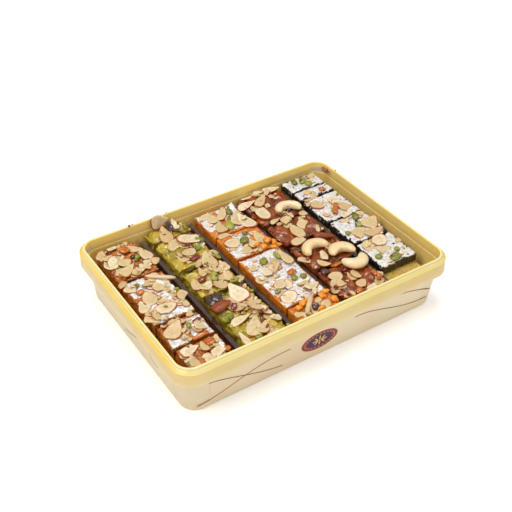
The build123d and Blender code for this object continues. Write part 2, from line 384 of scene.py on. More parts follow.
@dataclass(frozen=True)
class PlasticFinish:
    """Moulded ivory polypropylene, warmer inside where light bounces between the walls."""

    outside: str = "#e0ceab"
    skirt: str = "#dcc280"
    ledge: str = "#dac87c"
    end_ledge: str = "#e2c455"
    lip: str = "#e0d196"
    inside: str = "#ffdc80"
    cloud: str = "#f3e7c6"
    half_length: float = 121.1
    half_width: float = 86.85
    height: float = 49.5
    corner: float = 13.6
    draft: float = 0.089
    roughness: float = 0.34

    def build(self) -> bpy.types.Material:
        """Returns the material.

        Returns:
            The material.
        """
        s = Shader("moulded_polypropylene")
        x, y, z = s.axes()
        lean = s.times(s.math("SUBTRACT", z, self.height), self.draft)
        past = [
            s.math("SUBTRACT", s.math("ABSOLUTE", along), s.math("ADD", lean, half - self.corner))
            for along, half in ((x, self.half_length), (y, self.half_width))
        ]
        far = [s.math("MAXIMUM", p, 0.0) for p in past]
        reach = s.math("SQRT", s.math("ADD", s.times(far[0], far[0]), s.times(far[1], far[1])))
        near = s.math("MINIMUM", s.math("MAXIMUM", *past), 0.0)
        # millimetres outside the drafted outer face, less than zero within the wall
        outward = s.math("SUBTRACT", s.math("ADD", reach, near), self.corner)
        base = s.mix(s.remap(outward, -0.95, -0.55), self.inside, self.outside)
        base = s.mix(s.times(s.remap(outward, 0.9, 1.5), s.remap(z, 33.0, 40.0)), base, self.skirt)
        on_lip = s.times(s.remap(z, 47.0, 47.8), s.remap(outward, -1.2, -0.4))
        base = s.mix(on_lip, base, self.lip)
        at_ends = s.remap(s.math("ABSOLUTE", x), 116.0, 121.0)
        on_ledge = s.times(s.remap(outward, 0.9, 2.4), s.remap(z, 43.6, 46.4))
        base = s.mix(on_ledge, base, s.mix(at_ends, self.ledge, self.end_ledge))
        tone = s.mix(s.remap(s.noise(38), 0.35, 0.7, 0.0, 0.15), base, self.cloud)
        s.set(
            Base_Color=tone, Roughness=self.roughness, IOR=1.49, Subsurface_Weight=0.18, Subsurface_Scale=0.004
        )
        s.set(Subsurface_Radius=(1.0, 0.75, 0.35), Specular_IOR_Level=0.5)
        return s.set(Normal=s.bump(s.noise(11, 3), 0.05))


@dataclass(frozen=True)
class SheetFinish:
    """Clear thermoformed polyester sheet; its ridges between the rows carry painted shade, half opaque and dark
    brown, for the shadow deep in the gaps.
    """

    tint: str = "#d8b878"
    # painted shade: dark brown for the shadow deep in the gaps between the rows
    painted_gap_shade: str = "#573c33"
    body: float = 0.06
    gap_shade_opacity: float = 0.52
    roughness: float = 0.1

    def build(self) -> bpy.types.Material:
        """Returns the material.

        Returns:
            The material.
        """
        s = Shader("clear_thermoformed_sheet")
        x, y, z = s.axes()
        between_x = s.remap(s.math("ABSOLUTE", x), 106.0, 104.0)
        between_y = s.remap(s.math("ABSOLUTE", y), 80.0, 76.0)
        # painted shade: the ridges between the rows turn half opaque and dark brown for the shadow deep in the
        # gaps
        gap_shade_mask = s.times(s.times(between_x, between_y), s.remap(z, 22.0, 28.0))
        below_rim = s.remap(z, 43.9, 43.4)
        seen = s.math("ADD", s.times(below_rim, 0.8), 0.2)
        s.set(Alpha=s.times(s.remap(gap_shade_mask, 0.0, 1.0, self.body, self.gap_shade_opacity), seen))
        tint_and_gap_shade = s.mix(gap_shade_mask, self.tint, self.painted_gap_shade)
        s.set(Base_Color=tint_and_gap_shade, Roughness=self.roughness, Specular_IOR_Level=below_rim)
        return s.set(Coat_Weight=below_rim, Coat_Roughness=0.04, Coat_IOR=1.6, Normal=s.bump(s.noise(6), 0.1))


@dataclass(frozen=True)
class LabelFinish:
    """Printed label film: warm ivory, a little glossier than the wall."""

    paper: str = "#e0cca6"
    faded: str = "#e6d6b6"

    def build(self) -> bpy.types.Material:
        """Returns the material.

        Returns:
            The material.
        """
        s = Shader("printed_label_film")
        fade = s.remap(s.noise(60, 1), 0.3, 0.7)
        s.set(Base_Color=s.mix(fade, self.paper, self.faded), Roughness=0.32, Specular_IOR_Level=0.5)
        return s.set(Normal=s.bump(s.noise(14), 0.03))


@dataclass(frozen=True)
class PrintFinish:
    """Flat printing ink."""

    name: str
    ink: str
    roughness: float = 0.4

    def build(self) -> bpy.types.Material:
        """Returns the material."""
        return Shader(self.name).set(Base_Color=self.ink, Roughness=self.roughness)


@dataclass(frozen=True)
class SweetFinish:
    """A dense milk or nut sweet: two tones in soft clouds, grains of nut, a fat sheen."""

    name: str
    main: str
    second: str
    grain: str
    grain_share: float = 0.35
    cloud_mm: float = 7.0
    grain_mm: float = 1.3
    roughness: float = 0.5
    coat: float = 0.0
    relief: float = 0.25
    glow: float = 0.1

    def build(self) -> bpy.types.Material:
        """Returns the material.

        Returns:
            The material.
        """
        s = Shader(self.name)
        cloud = s.remap(s.noise(self.cloud_mm, 4, 0.6), 0.36, 0.66)
        fewest = 0.62 - 0.2 * self.grain_share
        specks = s.remap(s.noise(self.grain_mm, 2, 0.6), fewest, fewest + 0.08)
        tone = s.mix(s.times(specks, 0.75), s.mix(cloud, self.main, self.second), self.grain)
        coarse = s.bump(s.noise(self.cloud_mm * 0.4, 4, 0.65), self.relief * 1.4)
        fine = s.bump(s.noise(self.grain_mm * 0.6, 3, 0.6), self.relief * 0.5, coarse)
        s.set(Base_Color=tone, Normal=fine, Subsurface_Weight=self.glow, Subsurface_Scale=0.0015)
        s.set(Roughness=s.remap(cloud, 0, 1, self.roughness - 0.07, self.roughness + 0.08))
        return s.set(Coat_Weight=self.coat, Coat_Roughness=0.16)


@dataclass(frozen=True)
class LeafFinish:
    """Edible silver leaf beaten thin: near-white, softly metallic, broken by hairline creases."""

    silver: str = "#eeebe7"
    shade: str = "#d6d0cb"

    def build(self) -> bpy.types.Material:
        """Returns the material.

        Returns:
            The material.
        """
        s = Shader("edible_silver_leaf")
        tone = s.mix(s.remap(s.noise(1.8, 5, 0.7), 0.4, 0.56), self.shade, self.silver)
        relief = s.bump(s.creases(2.4), 0.4, s.bump(s.noise(3.2), 0.9))
        relief = s.bump(s.noise(0.9, 4, 0.7), 0.4, relief)
        return s.set(Base_Color=tone, Metallic=0.35, Roughness=0.32, Specular_IOR_Level=0.7, Normal=relief)


@dataclass(frozen=True)
class NutFinish:
    """A cut nut: pale flesh with warmer veins; the stored "skin" value lays brown skin on it."""

    name: str
    flesh: str
    vein: str
    skin: str
    pale: str = "#f0e6cf"
    heart: str = "#bfa878"
    roughness: float = 0.42
    glow: float = 0.2
    skin_noise: float = 0.0
    coat: float = 0.0

    def build(self) -> bpy.types.Material:
        """Returns the material.

        Returns:
            The material.
        """
        s = Shader(self.name)
        age = s.attribute("tone")
        flesh = s.mix(s.remap(s.noise(2.6, 3, 0.6), 0.4, 0.75, 0.0, 0.6), self.flesh, self.vein)
        flesh = s.mix(s.remap(age, 0.5, 0.95, 0.0, 0.8), flesh, self.pale)
        flesh = s.mix(s.remap(age, 0.35, 0.05, 0.0, 0.55), flesh, self.vein)
        clear = s.times(s.attribute("heart"), s.remap(s.noise(3.0), 0.3, 0.6, 0.1, 0.65))
        flesh = s.mix(clear, flesh, self.heart)
        skin = s.attribute("skin")
        if self.skin_noise:
            skin = s.math("MAXIMUM", skin, s.remap(s.noise(4.0), 0.56, 0.64, 0.0, self.skin_noise))
        edge = s.remap(s.math("ADD", skin, s.times(s.noise(1.2), 0.35)), 0.45, 0.8)
        s.set(Base_Color=s.mix(edge, flesh, self.skin), Roughness=self.roughness, Coat_Weight=self.coat)
        s.set(Subsurface_Weight=self.glow, Subsurface_Scale=0.002)
        return s.set(Normal=s.bump(s.noise(1.0, 3, 0.6), 0.12, s.bump(s.noise(3.5), 0.2)))


@dataclass(frozen=True)
class FruitFinish:
    """Candied fruit: a translucent body under a glossy sugar glaze."""

    name: str
    body: str
    depth: str
    clear: float = 0.25

    def build(self) -> bpy.types.Material:
        """Returns the material.

        Returns:
            The material.
        """
        s = Shader(self.name)
        s.set(Base_Color=s.mix(s.remap(s.noise(3.0, 3), 0.3, 0.7), self.body, self.depth), Roughness=0.24)
        s.set(Coat_Weight=0.5, Coat_Roughness=0.1, Transmission_Weight=self.clear)
        return s.set(Subsurface_Weight=0.3, Subsurface_Scale=0.002, Normal=s.bump(s.noise(1.6, 3), 0.3))


class Finish(Enum):
    """Every finish on the box and its contents."""

    TUB = PlasticFinish()
    TRAY = SheetFinish()
    LABEL = LabelFinish()
    GOLD_LINE = PrintFinish("brown_gold_ink", "#8c5616")
    INDIGO = PrintFinish("deep_indigo_ink", "#33204a")
    MAROON = PrintFinish("maroon_ink", "#8c2430")
    PALE_GOLD = PrintFinish("pale_gold_ink", "#d9b45a")
    ALMOND_BARFI = SweetFinish("dense_nut_barfi", "#c26a14", "#74320a", "#dca050", 0.35, relief=0.4, coat=0.15)
    PISTA_LOAF = SweetFinish(
        "pistachio_loaf", "#c3a834", "#8c7a1a", "#d6c46e", 0.05,
        cloud_mm=9.0, grain_mm=3.5, roughness=0.3, coat=0.45,
        relief=0.2, glow=0.3,
    )
    KESAR_BARFI = SweetFinish("saffron_barfi", "#d9790c", "#a8480a", "#eba33e", 0.4, roughness=0.42, coat=0.2)
    SAFFRON_CRUMB = SweetFinish("saffron_crumb", "#f09614", "#d9740a", "#ffc050", 0.5, roughness=0.45)
    FIG_ROLL = SweetFinish(
        "glossy_fig_sweet", "#98480f", "#622606", "#b8641a", 0.02, cloud_mm=14.0, grain_mm=4.0, roughness=0.3,
        coat=0.16, relief=0.12, glow=0.2,
    )
    CHOCOLATE = SweetFinish(
        "dark_chocolate_barfi", "#33201c", "#1f1210", "#4a332b", 0.15, roughness=0.42, coat=0.2
    )
    CREAM = SweetFinish("cream_milk_barfi", "#c2a24c", "#a88434", "#d2ba6c", 0.5, roughness=0.5, relief=0.35)
    LEAF = LeafFinish()
    ALMOND = NutFinish("sliced_almond", "#d8bf90", "#bf975f", "#a9571c", "#e9d9bd")
    CASHEW = NutFinish(
        "roasted_cashew", "#e3c997", "#d2a968", "#8a5a2a", "#ead6ac", roughness=0.34, glow=0.25, coat=0.2
    )
    PISTACHIO = NutFinish(
        "pistachio_sliver", "#8c8e1e", "#56560e", "#4a2c24", "#a09c34", skin_noise=0.6, coat=0.2
    )
    WHOLE_ALMOND = NutFinish(
        "whole_almond_skin", "#8e3c0e", "#642408", "#4e1e0e", "#a85428",
        roughness=0.4, glow=0.05, skin_noise=0.5
    )
    ORANGE = FruitFinish("candied_orange", "#e08818", "#c05a08")
    RED_FRUIT = FruitFinish("candied_papaya_red", "#a62c16", "#6e150e")
    RIM_CRUMB = NutFinish("sweet_crumb", "#b8752e", "#7d4114", "#6b3210", "#cf9a52")
    DARK_FRUIT = FruitFinish("dark_raisin", "#54322a", "#301a14", clear=0.1)


@cache
def finish(which: Finish) -> bpy.types.Material:
    """The material of a finish, built the first time it is asked for."""
    return which.value.build()


def settle(obj: bpy.types.Object, body: str, slot: str, which: Finish, *nodes: str) -> None:
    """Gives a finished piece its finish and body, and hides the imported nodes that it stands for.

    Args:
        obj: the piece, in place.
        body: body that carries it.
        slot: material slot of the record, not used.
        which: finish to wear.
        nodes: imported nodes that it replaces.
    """
    obj.data.materials.clear()
    obj.data.materials.append(finish(which))
    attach(obj, body)
    if nodes:
        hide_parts(*nodes)
    LOG.info("%s: %d faces on %s", obj.name, len(obj.data.polygons), body)


# ---------------------------------------------------------------- nuts


@dataclass(frozen=True)
class Slice:
    """A thin nut slice of unit length and width: an outline, how it is broken and how it bends."""

    point: float = 0.3
    cut_long: float = 9.0
    cut_side: float = 9.0
    bend: float = 0.5
    twist: float = 0.0
    wobble: float = 0.13
    sides: int = 26
    thickness: float = 1.1
    # of each ring from the middle out: how far out it lies, its skin, its heart and its height
    RINGS = ((0.45, 0.0, 1.0, 0.5), (0.8, 0.0, 0.35, 0.46), (0.91, 0.7, 0.1, 0.4), (1.0, 1.25, 0.0, 0.22))

    def build(self, name: str, seed: int) -> bpy.types.Object:
        """Makes the slice.

        Args:
            name: name of the object.
            seed: shape of its small irregularities.

        Returns:
            An object of unit length and width and real thickness in millimetres.
        """
        angle = np.linspace(0, 2 * math.pi, self.sides, endpoint=False)
        jitter = field(np.c_[np.cos(angle) * 2, np.sin(angle) * 2, angle * 0], 1.0, seed, 2) - 0.5
        radius = 0.5 * (1 + self.wobble * 2 * jitter)
        x = radius * np.cos(angle)
        y = radius * np.sin(angle) * (1 - self.point * np.cos(angle))
        x = x + self.point * 0.35 * np.maximum(np.cos(angle), 0) ** 7
        jag = (field(np.c_[x * 9, y * 9, angle * 0], 1.0, seed + 5) - 0.5) * 0.12
        broken = (x > self.cut_long + jag) | (y < -self.cut_side + jag)
        x = np.minimum(x, self.cut_long + jag)
        y = np.maximum(y, -self.cut_side + jag)
        x, y = x - (x.max() + x.min()) / 2, y - (y.max() + y.min()) / 2
        x, y = x / np.ptp(x), y / np.ptp(y)
        lit = np.clip(0.5 + 0.9 * np.cos(angle - seed * 2.4) + (jitter * 1.2), 0, 1)
        verts, skin, heart, faces = [], [], [], []
        for side in (1, -1):
            verts.append((0.0, 0.0, side * 0.5))
            skin.append(0.0)
            heart.append(1.0)
            for share, tint, middle, height in self.RINGS:
                verts += [(x[i] * share, y[i] * share, side * height) for i in range(self.sides)]
                skin += [0.0 if broken[i] else tint * lit[i] for i in range(self.sides)]
                heart += [middle] * self.sides
        n, half = self.sides, 1 + self.sides * len(self.RINGS)
        rim = half - n
        for i in range(n):
            j = (i + 1) % n
            for start, way in ((0, 1), (half, -1)):
                faces.append((start, start + 1 + i, start + 1 + j)[::way])
                for a in range(start + 1, start + rim, n):
                    faces.append((a + i, a + n + i, a + n + j, a + j)[::way])
            faces.append((rim + i, half + rim + i, half + rim + j, rim + j))
        co = np.array(verts)
        body = co[:, 2] * self.thickness
        bow = self.bend * (co[:, 0] ** 2 * 4 - 0.4) + self.twist * co[:, 0] * co[:, 1] * 4
        ripple = (field(np.c_[co[:, :2] * 4, co[:, 2] * 0], 1.0, seed + 9) - 0.5) * 0.5
        co[:, 2] = body + bow + ripple
        obj = new_object(name, co, faces)
        set_attribute(obj.data, "skin", skin)
        set_attribute(obj.data, "heart", heart)
        return obj


@dataclass(frozen=True)
class Lump:
    """A rounded bit of unit length and width: an ellipsoid between a bar and a ball."""

    square: float = 0.0
    flat: float = 0.0
    taper: float = 0.0
    rough: float = 0.12
    height: float = 2.4
    rings: int = 7
    sides: int = 12

    def build(self, name: str, seed: int) -> bpy.types.Object:
        """Makes the lump.

        Args:
            name: name of the object.
            seed: shape of its dents.

        Returns:
            An object of unit length and width and real height in millimetres.
        """
        n = self.sides
        verts = [(-0.5, 0, 0)]
        for ring in range(1, self.rings):
            a = math.pi * ring / self.rings
            for side in range(n):
                b = 2 * math.pi * side / n
                p = np.array([-math.cos(a), math.sin(a) * math.cos(b), math.sin(a) * math.sin(b)])
                p = p * (1 - self.square) + p / max(abs(p)) * self.square
                p[1:] *= 1 - self.taper * p[0]
                verts.append(tuple(p * 0.5))
        verts.append((0.5, 0, 0))
        last = len(verts) - 1 - n
        faces = [(0, 1 + (i + 1) % n, 1 + i) for i in range(n)]
        faces += [(last + i, last + (i + 1) % n, last + n) for i in range(n)]
        for ring in range(1, last, n):
            faces += band(ring, ring + n, n)
        co = np.array(verts)
        dent = field(co * 4 + 3, 1.0, seed, 2) - 0.5
        co *= (1 + self.rough * 2 * dent)[:, None]
        co[:, 2] = np.where(co[:, 2] < 0, co[:, 2] * (1 - self.flat), co[:, 2]) * self.height
        obj = new_object(name, co, faces)
        set_attribute(obj.data, "skin", np.zeros(len(co)))
        face_outwards(obj.data)
        return obj


@dataclass(frozen=True)
class Crescent:
    """A whole cashew of unit length and width: a bent body, fat in the middle, dented along its inner side."""

    arc: float = 178.0
    height: float = 7.4
    rings: int = 22
    sides: int = 14
    fat: float = 0.45
    thin: float = 0.29

    def build(self, name: str, seed: int) -> bpy.types.Object:
        """Makes the nut.

        Args:
            name: name of the object.
            seed: shape of its dents.

        Returns:
            An object of unit length and width and real height in millimetres.
        """
        verts, n = [], self.sides
        half = math.radians(self.arc) / 2
        for ring in range(self.rings + 1):
            t = ring / self.rings * 2 - 1
            cap = math.sqrt(max(1 - abs(t) ** 5, 0.0004))
            angle = math.pi / 2 - t * half
            thick = (self.thin + (self.fat - self.thin) * (1 - t * t)) * cap
            out = np.array([math.cos(angle), math.sin(angle)])
            for side in range(n):
                b = 2 * math.pi * side / n
                dent = 1 - 0.16 * max(0.0, -math.cos(b)) ** 4
                p = out * 0.7 + out * thick * math.cos(b) * dent
                verts.append((p[0], p[1], thick * math.sin(b) / self.fat * 0.5))
        last = self.rings * n
        faces = [tuple(range(n))[::-1], tuple(range(last, last + n))]
        for ring in range(0, last, n):
            faces += band(ring, ring + n, n)
        co = np.array(verts)
        for k in range(2):
            co[:, k] = (co[:, k] - co[:, k].min()) / np.ptp(co[:, k]) - 0.5
        dent = field(co * 5 + 2, 1.0, seed, 2) - 0.5
        co[:, 2] = co[:, 2] * self.height * (1 + 0.16 * dent)
        obj = new_object(name, co, faces)
        set_attribute(obj.data, "skin", (field(co * 7, 1.0, seed + 3) > 0.86) * 0.6)
        face_outwards(obj.data)
        return obj


class Shape(Enum):
    """The pieces strewn on the sweets: finish, thickness in millimetres and the unit meshes to choose from."""

    SLICE = (
        Finish.ALMOND, 1.1, Slice(0.34), Slice(0.28, bend=0.9, twist=0.25), Slice(0.4, bend=-0.5, twist=-0.3),
    )
    OVAL = Finish.ALMOND, 1.1, Slice(0.12), Slice(0.08, bend=0.7, twist=0.2), Slice(0.16, bend=-0.4)
    BROKEN = (
        Finish.ALMOND, 1.1,
        Slice(0.3, cut_long=0.2), Slice(0.25, cut_long=0.3, cut_side=0.2), Slice(0.4, cut_side=0.12, bend=0.9),
    )
    SHARD = (
        Finish.ALMOND, 1.1,
        Slice(0.1, cut_long=0.12, cut_side=0.15, wobble=0.2, sides=16),
        Slice(0.3, cut_long=0.2, cut_side=0.05, wobble=0.24, sides=14),
    )
    STRIP = (
        Finish.ALMOND, 1.9,
        Lump(square=0.75, rough=0.08, height=1.9, rings=6, sides=8),
        Lump(square=0.6, taper=0.25, rough=0.14, height=1.8, rings=6, sides=8),
    )
    CURL = (
        Finish.ALMOND, 1.0,
        Slice(0.2, bend=2.6, thickness=1.0), Slice(0.3, bend=2.2, cut_side=0.2, twist=0.6, thickness=1.0),
    )
    GREEN = (
        Finish.PISTACHIO, 2.4,
        Lump(square=0.35, flat=0.5), Lump(square=0.55, flat=0.4, rough=0.2), Lump(taper=0.3, flat=0.5),
    )
    GREEN_DISC = (
        Finish.PISTACHIO, 1.5,
        Lump(square=0.1, flat=0.1, height=1.5), Slice(0.1, bend=0.3, thickness=1.6, sides=18),
    )
    CRUMBLE = (
        Finish.SAFFRON_CRUMB, 2.8, Lump(square=0.3, rough=0.7, height=3.0),
        Lump(square=0.1, rough=0.8, height=2.6),
    )
    CASHEW = (
        Finish.CASHEW, 6.6, Crescent(arc=215, fat=0.38), Crescent(arc=200, fat=0.41), Crescent(arc=186, fat=0.44),
    )
    WHOLE = Finish.WHOLE_ALMOND, 5.2, Lump(taper=0.28, rough=0.09, height=5.2, rings=12, sides=18)
    ORANGE = Finish.ORANGE, 2.4, Lump(square=0.7, rough=0.2), Lump(square=0.8, rough=0.12, height=2.0)
    RED = (
        Finish.RED_FRUIT, 2.2, Lump(square=0.4, rough=0.3, height=2.2), Lump(square=0.6, rough=0.3, height=2.4),
    )
    DARK = (
        Finish.DARK_FRUIT, 2.6, Lump(square=0.2, rough=0.4, height=2.8), Lump(square=0.1, rough=0.5, height=2.6),
    )

    def __init__(self, look: Finish, thick: float, *recipes: Slice | Lump | Crescent) -> None:
        """Names the parts of the value."""
        self.look, self.thick, self.recipes = look, thick, recipes


@dataclass(frozen=True)
class Nut:
    """One strewn piece: its shape, where its middle lies on the box, its real size and its turn."""

    shape: Shape
    x: float
    y: float
    length: float
    width: float
    turn: float = 0.0
    lean: float = 0.0


@dataclass
class Laid:
    """A strewn piece with its final place and attitude."""

    nut: Nut
    place: Vector
    euler: Vector
    variant: int
    tone: float


class Larder:
    """Holds the unit meshes of every shape in collections, in a fixed order."""

    SEED_STEP = 3
    CRUMBS = (Lump(square=0.5, rough=0.5, rings=3, sides=5), Lump(rough=0.6, rings=3, sides=4))

    def __init__(self) -> None:
        """Builds the meshes."""
        self.shelves: dict[Finish, bpy.types.Collection] = {}
        self.index: dict[tuple[Shape, int], int] = {}
        seed = SEED
        for shape in Shape:
            if shape.look not in self.shelves:
                self.shelves[shape.look] = bpy.data.collections.new(f"shelf_{shape.look.name.lower()}")
            shelf = self.shelves[shape.look]
            for variant, recipe in enumerate(shape.recipes):
                number = self.index[shape, variant] = len(shelf.objects)
                self.shelve(recipe.build(f"unit_{number:02d}_{shape.name.lower()}_{variant}", seed), shelf)
                seed += self.SEED_STEP
        self.crumbs = bpy.data.collections.new("shelf_crumbs")
        for number, recipe in enumerate(self.CRUMBS):
            obj = recipe.build(f"crumb_{number:02d}", seed + number)
            obj.data.transform(Matrix.Diagonal((1, 1, 1 / recipe.height, 1)))
            self.shelve(obj, self.crumbs)

    def shelve(self, obj: bpy.types.Object, shelf: bpy.types.Collection) -> None:
        """Moves a unit mesh from the scene to a shelf."""
        bpy.context.scene.collection.objects.unlink(obj)
        shelf.objects.link(obj)


# ---------------------------------------------------------------- geometry nodes


class GeometryTree(Graph):
    """A geometry node tree that sets unit meshes on points; Shapes and Finish are always among its inputs."""

    def __init__(self, name: str, **kinds: str) -> None:
        """Starts the tree with a geometry input and output.

        Args:
            name: name of the tree.
            kinds: further inputs and the kind of each.
        """
        self.tree = bpy.data.node_groups.new(name, "GeometryNodeTree")
        self.tree.is_modifier = True
        face = self.tree.interface
        usual = {"Geometry": "Geometry", "Shapes": "Collection", "Finish": "Material"}
        self.sockets = {
            label: face.new_socket(label, in_out="INPUT", socket_type=f"NodeSocket{kind}").identifier
            for label, kind in (usual | kinds).items()
        }
        face.new_socket("Geometry", in_out="OUTPUT", socket_type="NodeSocketGeometry")
        self.given = self.add("NodeGroupInput").outputs

    def stored(self, name: str, kind: str) -> Socket:
        """Reads a stored attribute."""
        return self.add("GeometryNodeInputNamedAttribute", {"Name": name}, data_type=kind).outputs["Attribute"]

    def turned(self, angles: Socket) -> Socket:
        """A rotation from three angles."""
        return self.add("FunctionNodeEulerToRotation", {0: angles}).outputs[0]

    def lay(self, **where: Value) -> None:
        """Ends the tree: sets the shapes on points, makes them real and gives them their finish.

        Args:
            where: inputs of the instancing node; an underscore in a key stands for a space.
        """
        asked = {"Collection": self.given["Shapes"], "Separate Children": True, "Reset Children": True}
        shapes = self.add("GeometryNodeCollectionInfo", asked).outputs[0]
        inputs = {key.replace("_", " "): value for key, value in where.items()}
        laid = self.add("GeometryNodeInstanceOnPoints", {"Instance": shapes, "Pick Instance": True, **inputs})
        real = self.add("GeometryNodeRealizeInstances", {0: laid.outputs[0]})
        paint = {"Geometry": real.outputs[0], "Material": self.given["Finish"]}
        self.add("NodeGroupOutput", {0: self.add("GeometryNodeSetMaterial", paint).outputs[0]})

    def apply(self, obj: bpy.types.Object, **values: float | bpy.types.ID) -> bpy.types.Object:
        """Runs the tree on an object.

        Args:
            obj: what the tree works on.
            values: the tree's inputs.

        Returns:
            The same object with the result as its plain mesh.
        """
        modifier = obj.modifiers.new(self.tree.name, "NODES")
        modifier.node_group = self.tree
        for label, value in values.items():
            modifier[self.sockets[label]] = value
        obj.update_tag()
        bpy.context.view_layer.update()
        return baked(obj)


def laying_tree() -> GeometryTree:
    """Builds the tree that lays nuts: a chosen unit mesh on every point, turned and sized as the point says.

    Returns:
        The tree.
    """
    t = GeometryTree("lay_pieces")
    t.lay(
        Points=t.given["Geometry"], Instance_Index=t.stored("variant", "INT"),
        Rotation=t.turned(t.stored("turn", "FLOAT_VECTOR")), Scale=t.stored("size", "FLOAT_VECTOR"),
    )
    return t


def crumb_tree() -> GeometryTree:
    """Builds the tree that strews crumbs on the faces that look up.

    Returns:
        The tree.
    """
    upright = 0.75  # least upward part of the normal of a face that holds crumbs
    full_turn = 6.28
    t = GeometryTree("strew_crumbs", Density="Float", Smallest="Float", Largest="Float", Seed="Int")
    given = t.given
    height = t.add("ShaderNodeSeparateXYZ", {0: t.add("GeometryNodeInputNormal").outputs[0]}).outputs["Z"]
    up = t.add("FunctionNodeCompare", {"A": height, "B": upright}, data_type="FLOAT", operation="GREATER_THAN")
    inputs = {"Mesh": given["Geometry"], "Selection": up.outputs[0]}
    inputs |= {"Density": given["Density"], "Seed": given["Seed"]}
    strewn = t.add("GeometryNodeDistributePointsOnFaces", inputs).outputs["Points"]
    inputs = {1: (full_turn,) * 3, "Seed": given["Seed"]}
    spin = t.add("FunctionNodeRandomValue", inputs, data_type="FLOAT_VECTOR").outputs[0]
    inputs = {2: given["Smallest"], 3: given["Largest"], "Seed": given["Seed"]}
    size = t.add("FunctionNodeRandomValue", inputs, data_type="FLOAT").outputs[1]
    t.lay(Points=strewn, Rotation=t.turned(spin), Scale=size)
    return t


# ---------------------------------------------------------------- the heap of toppings


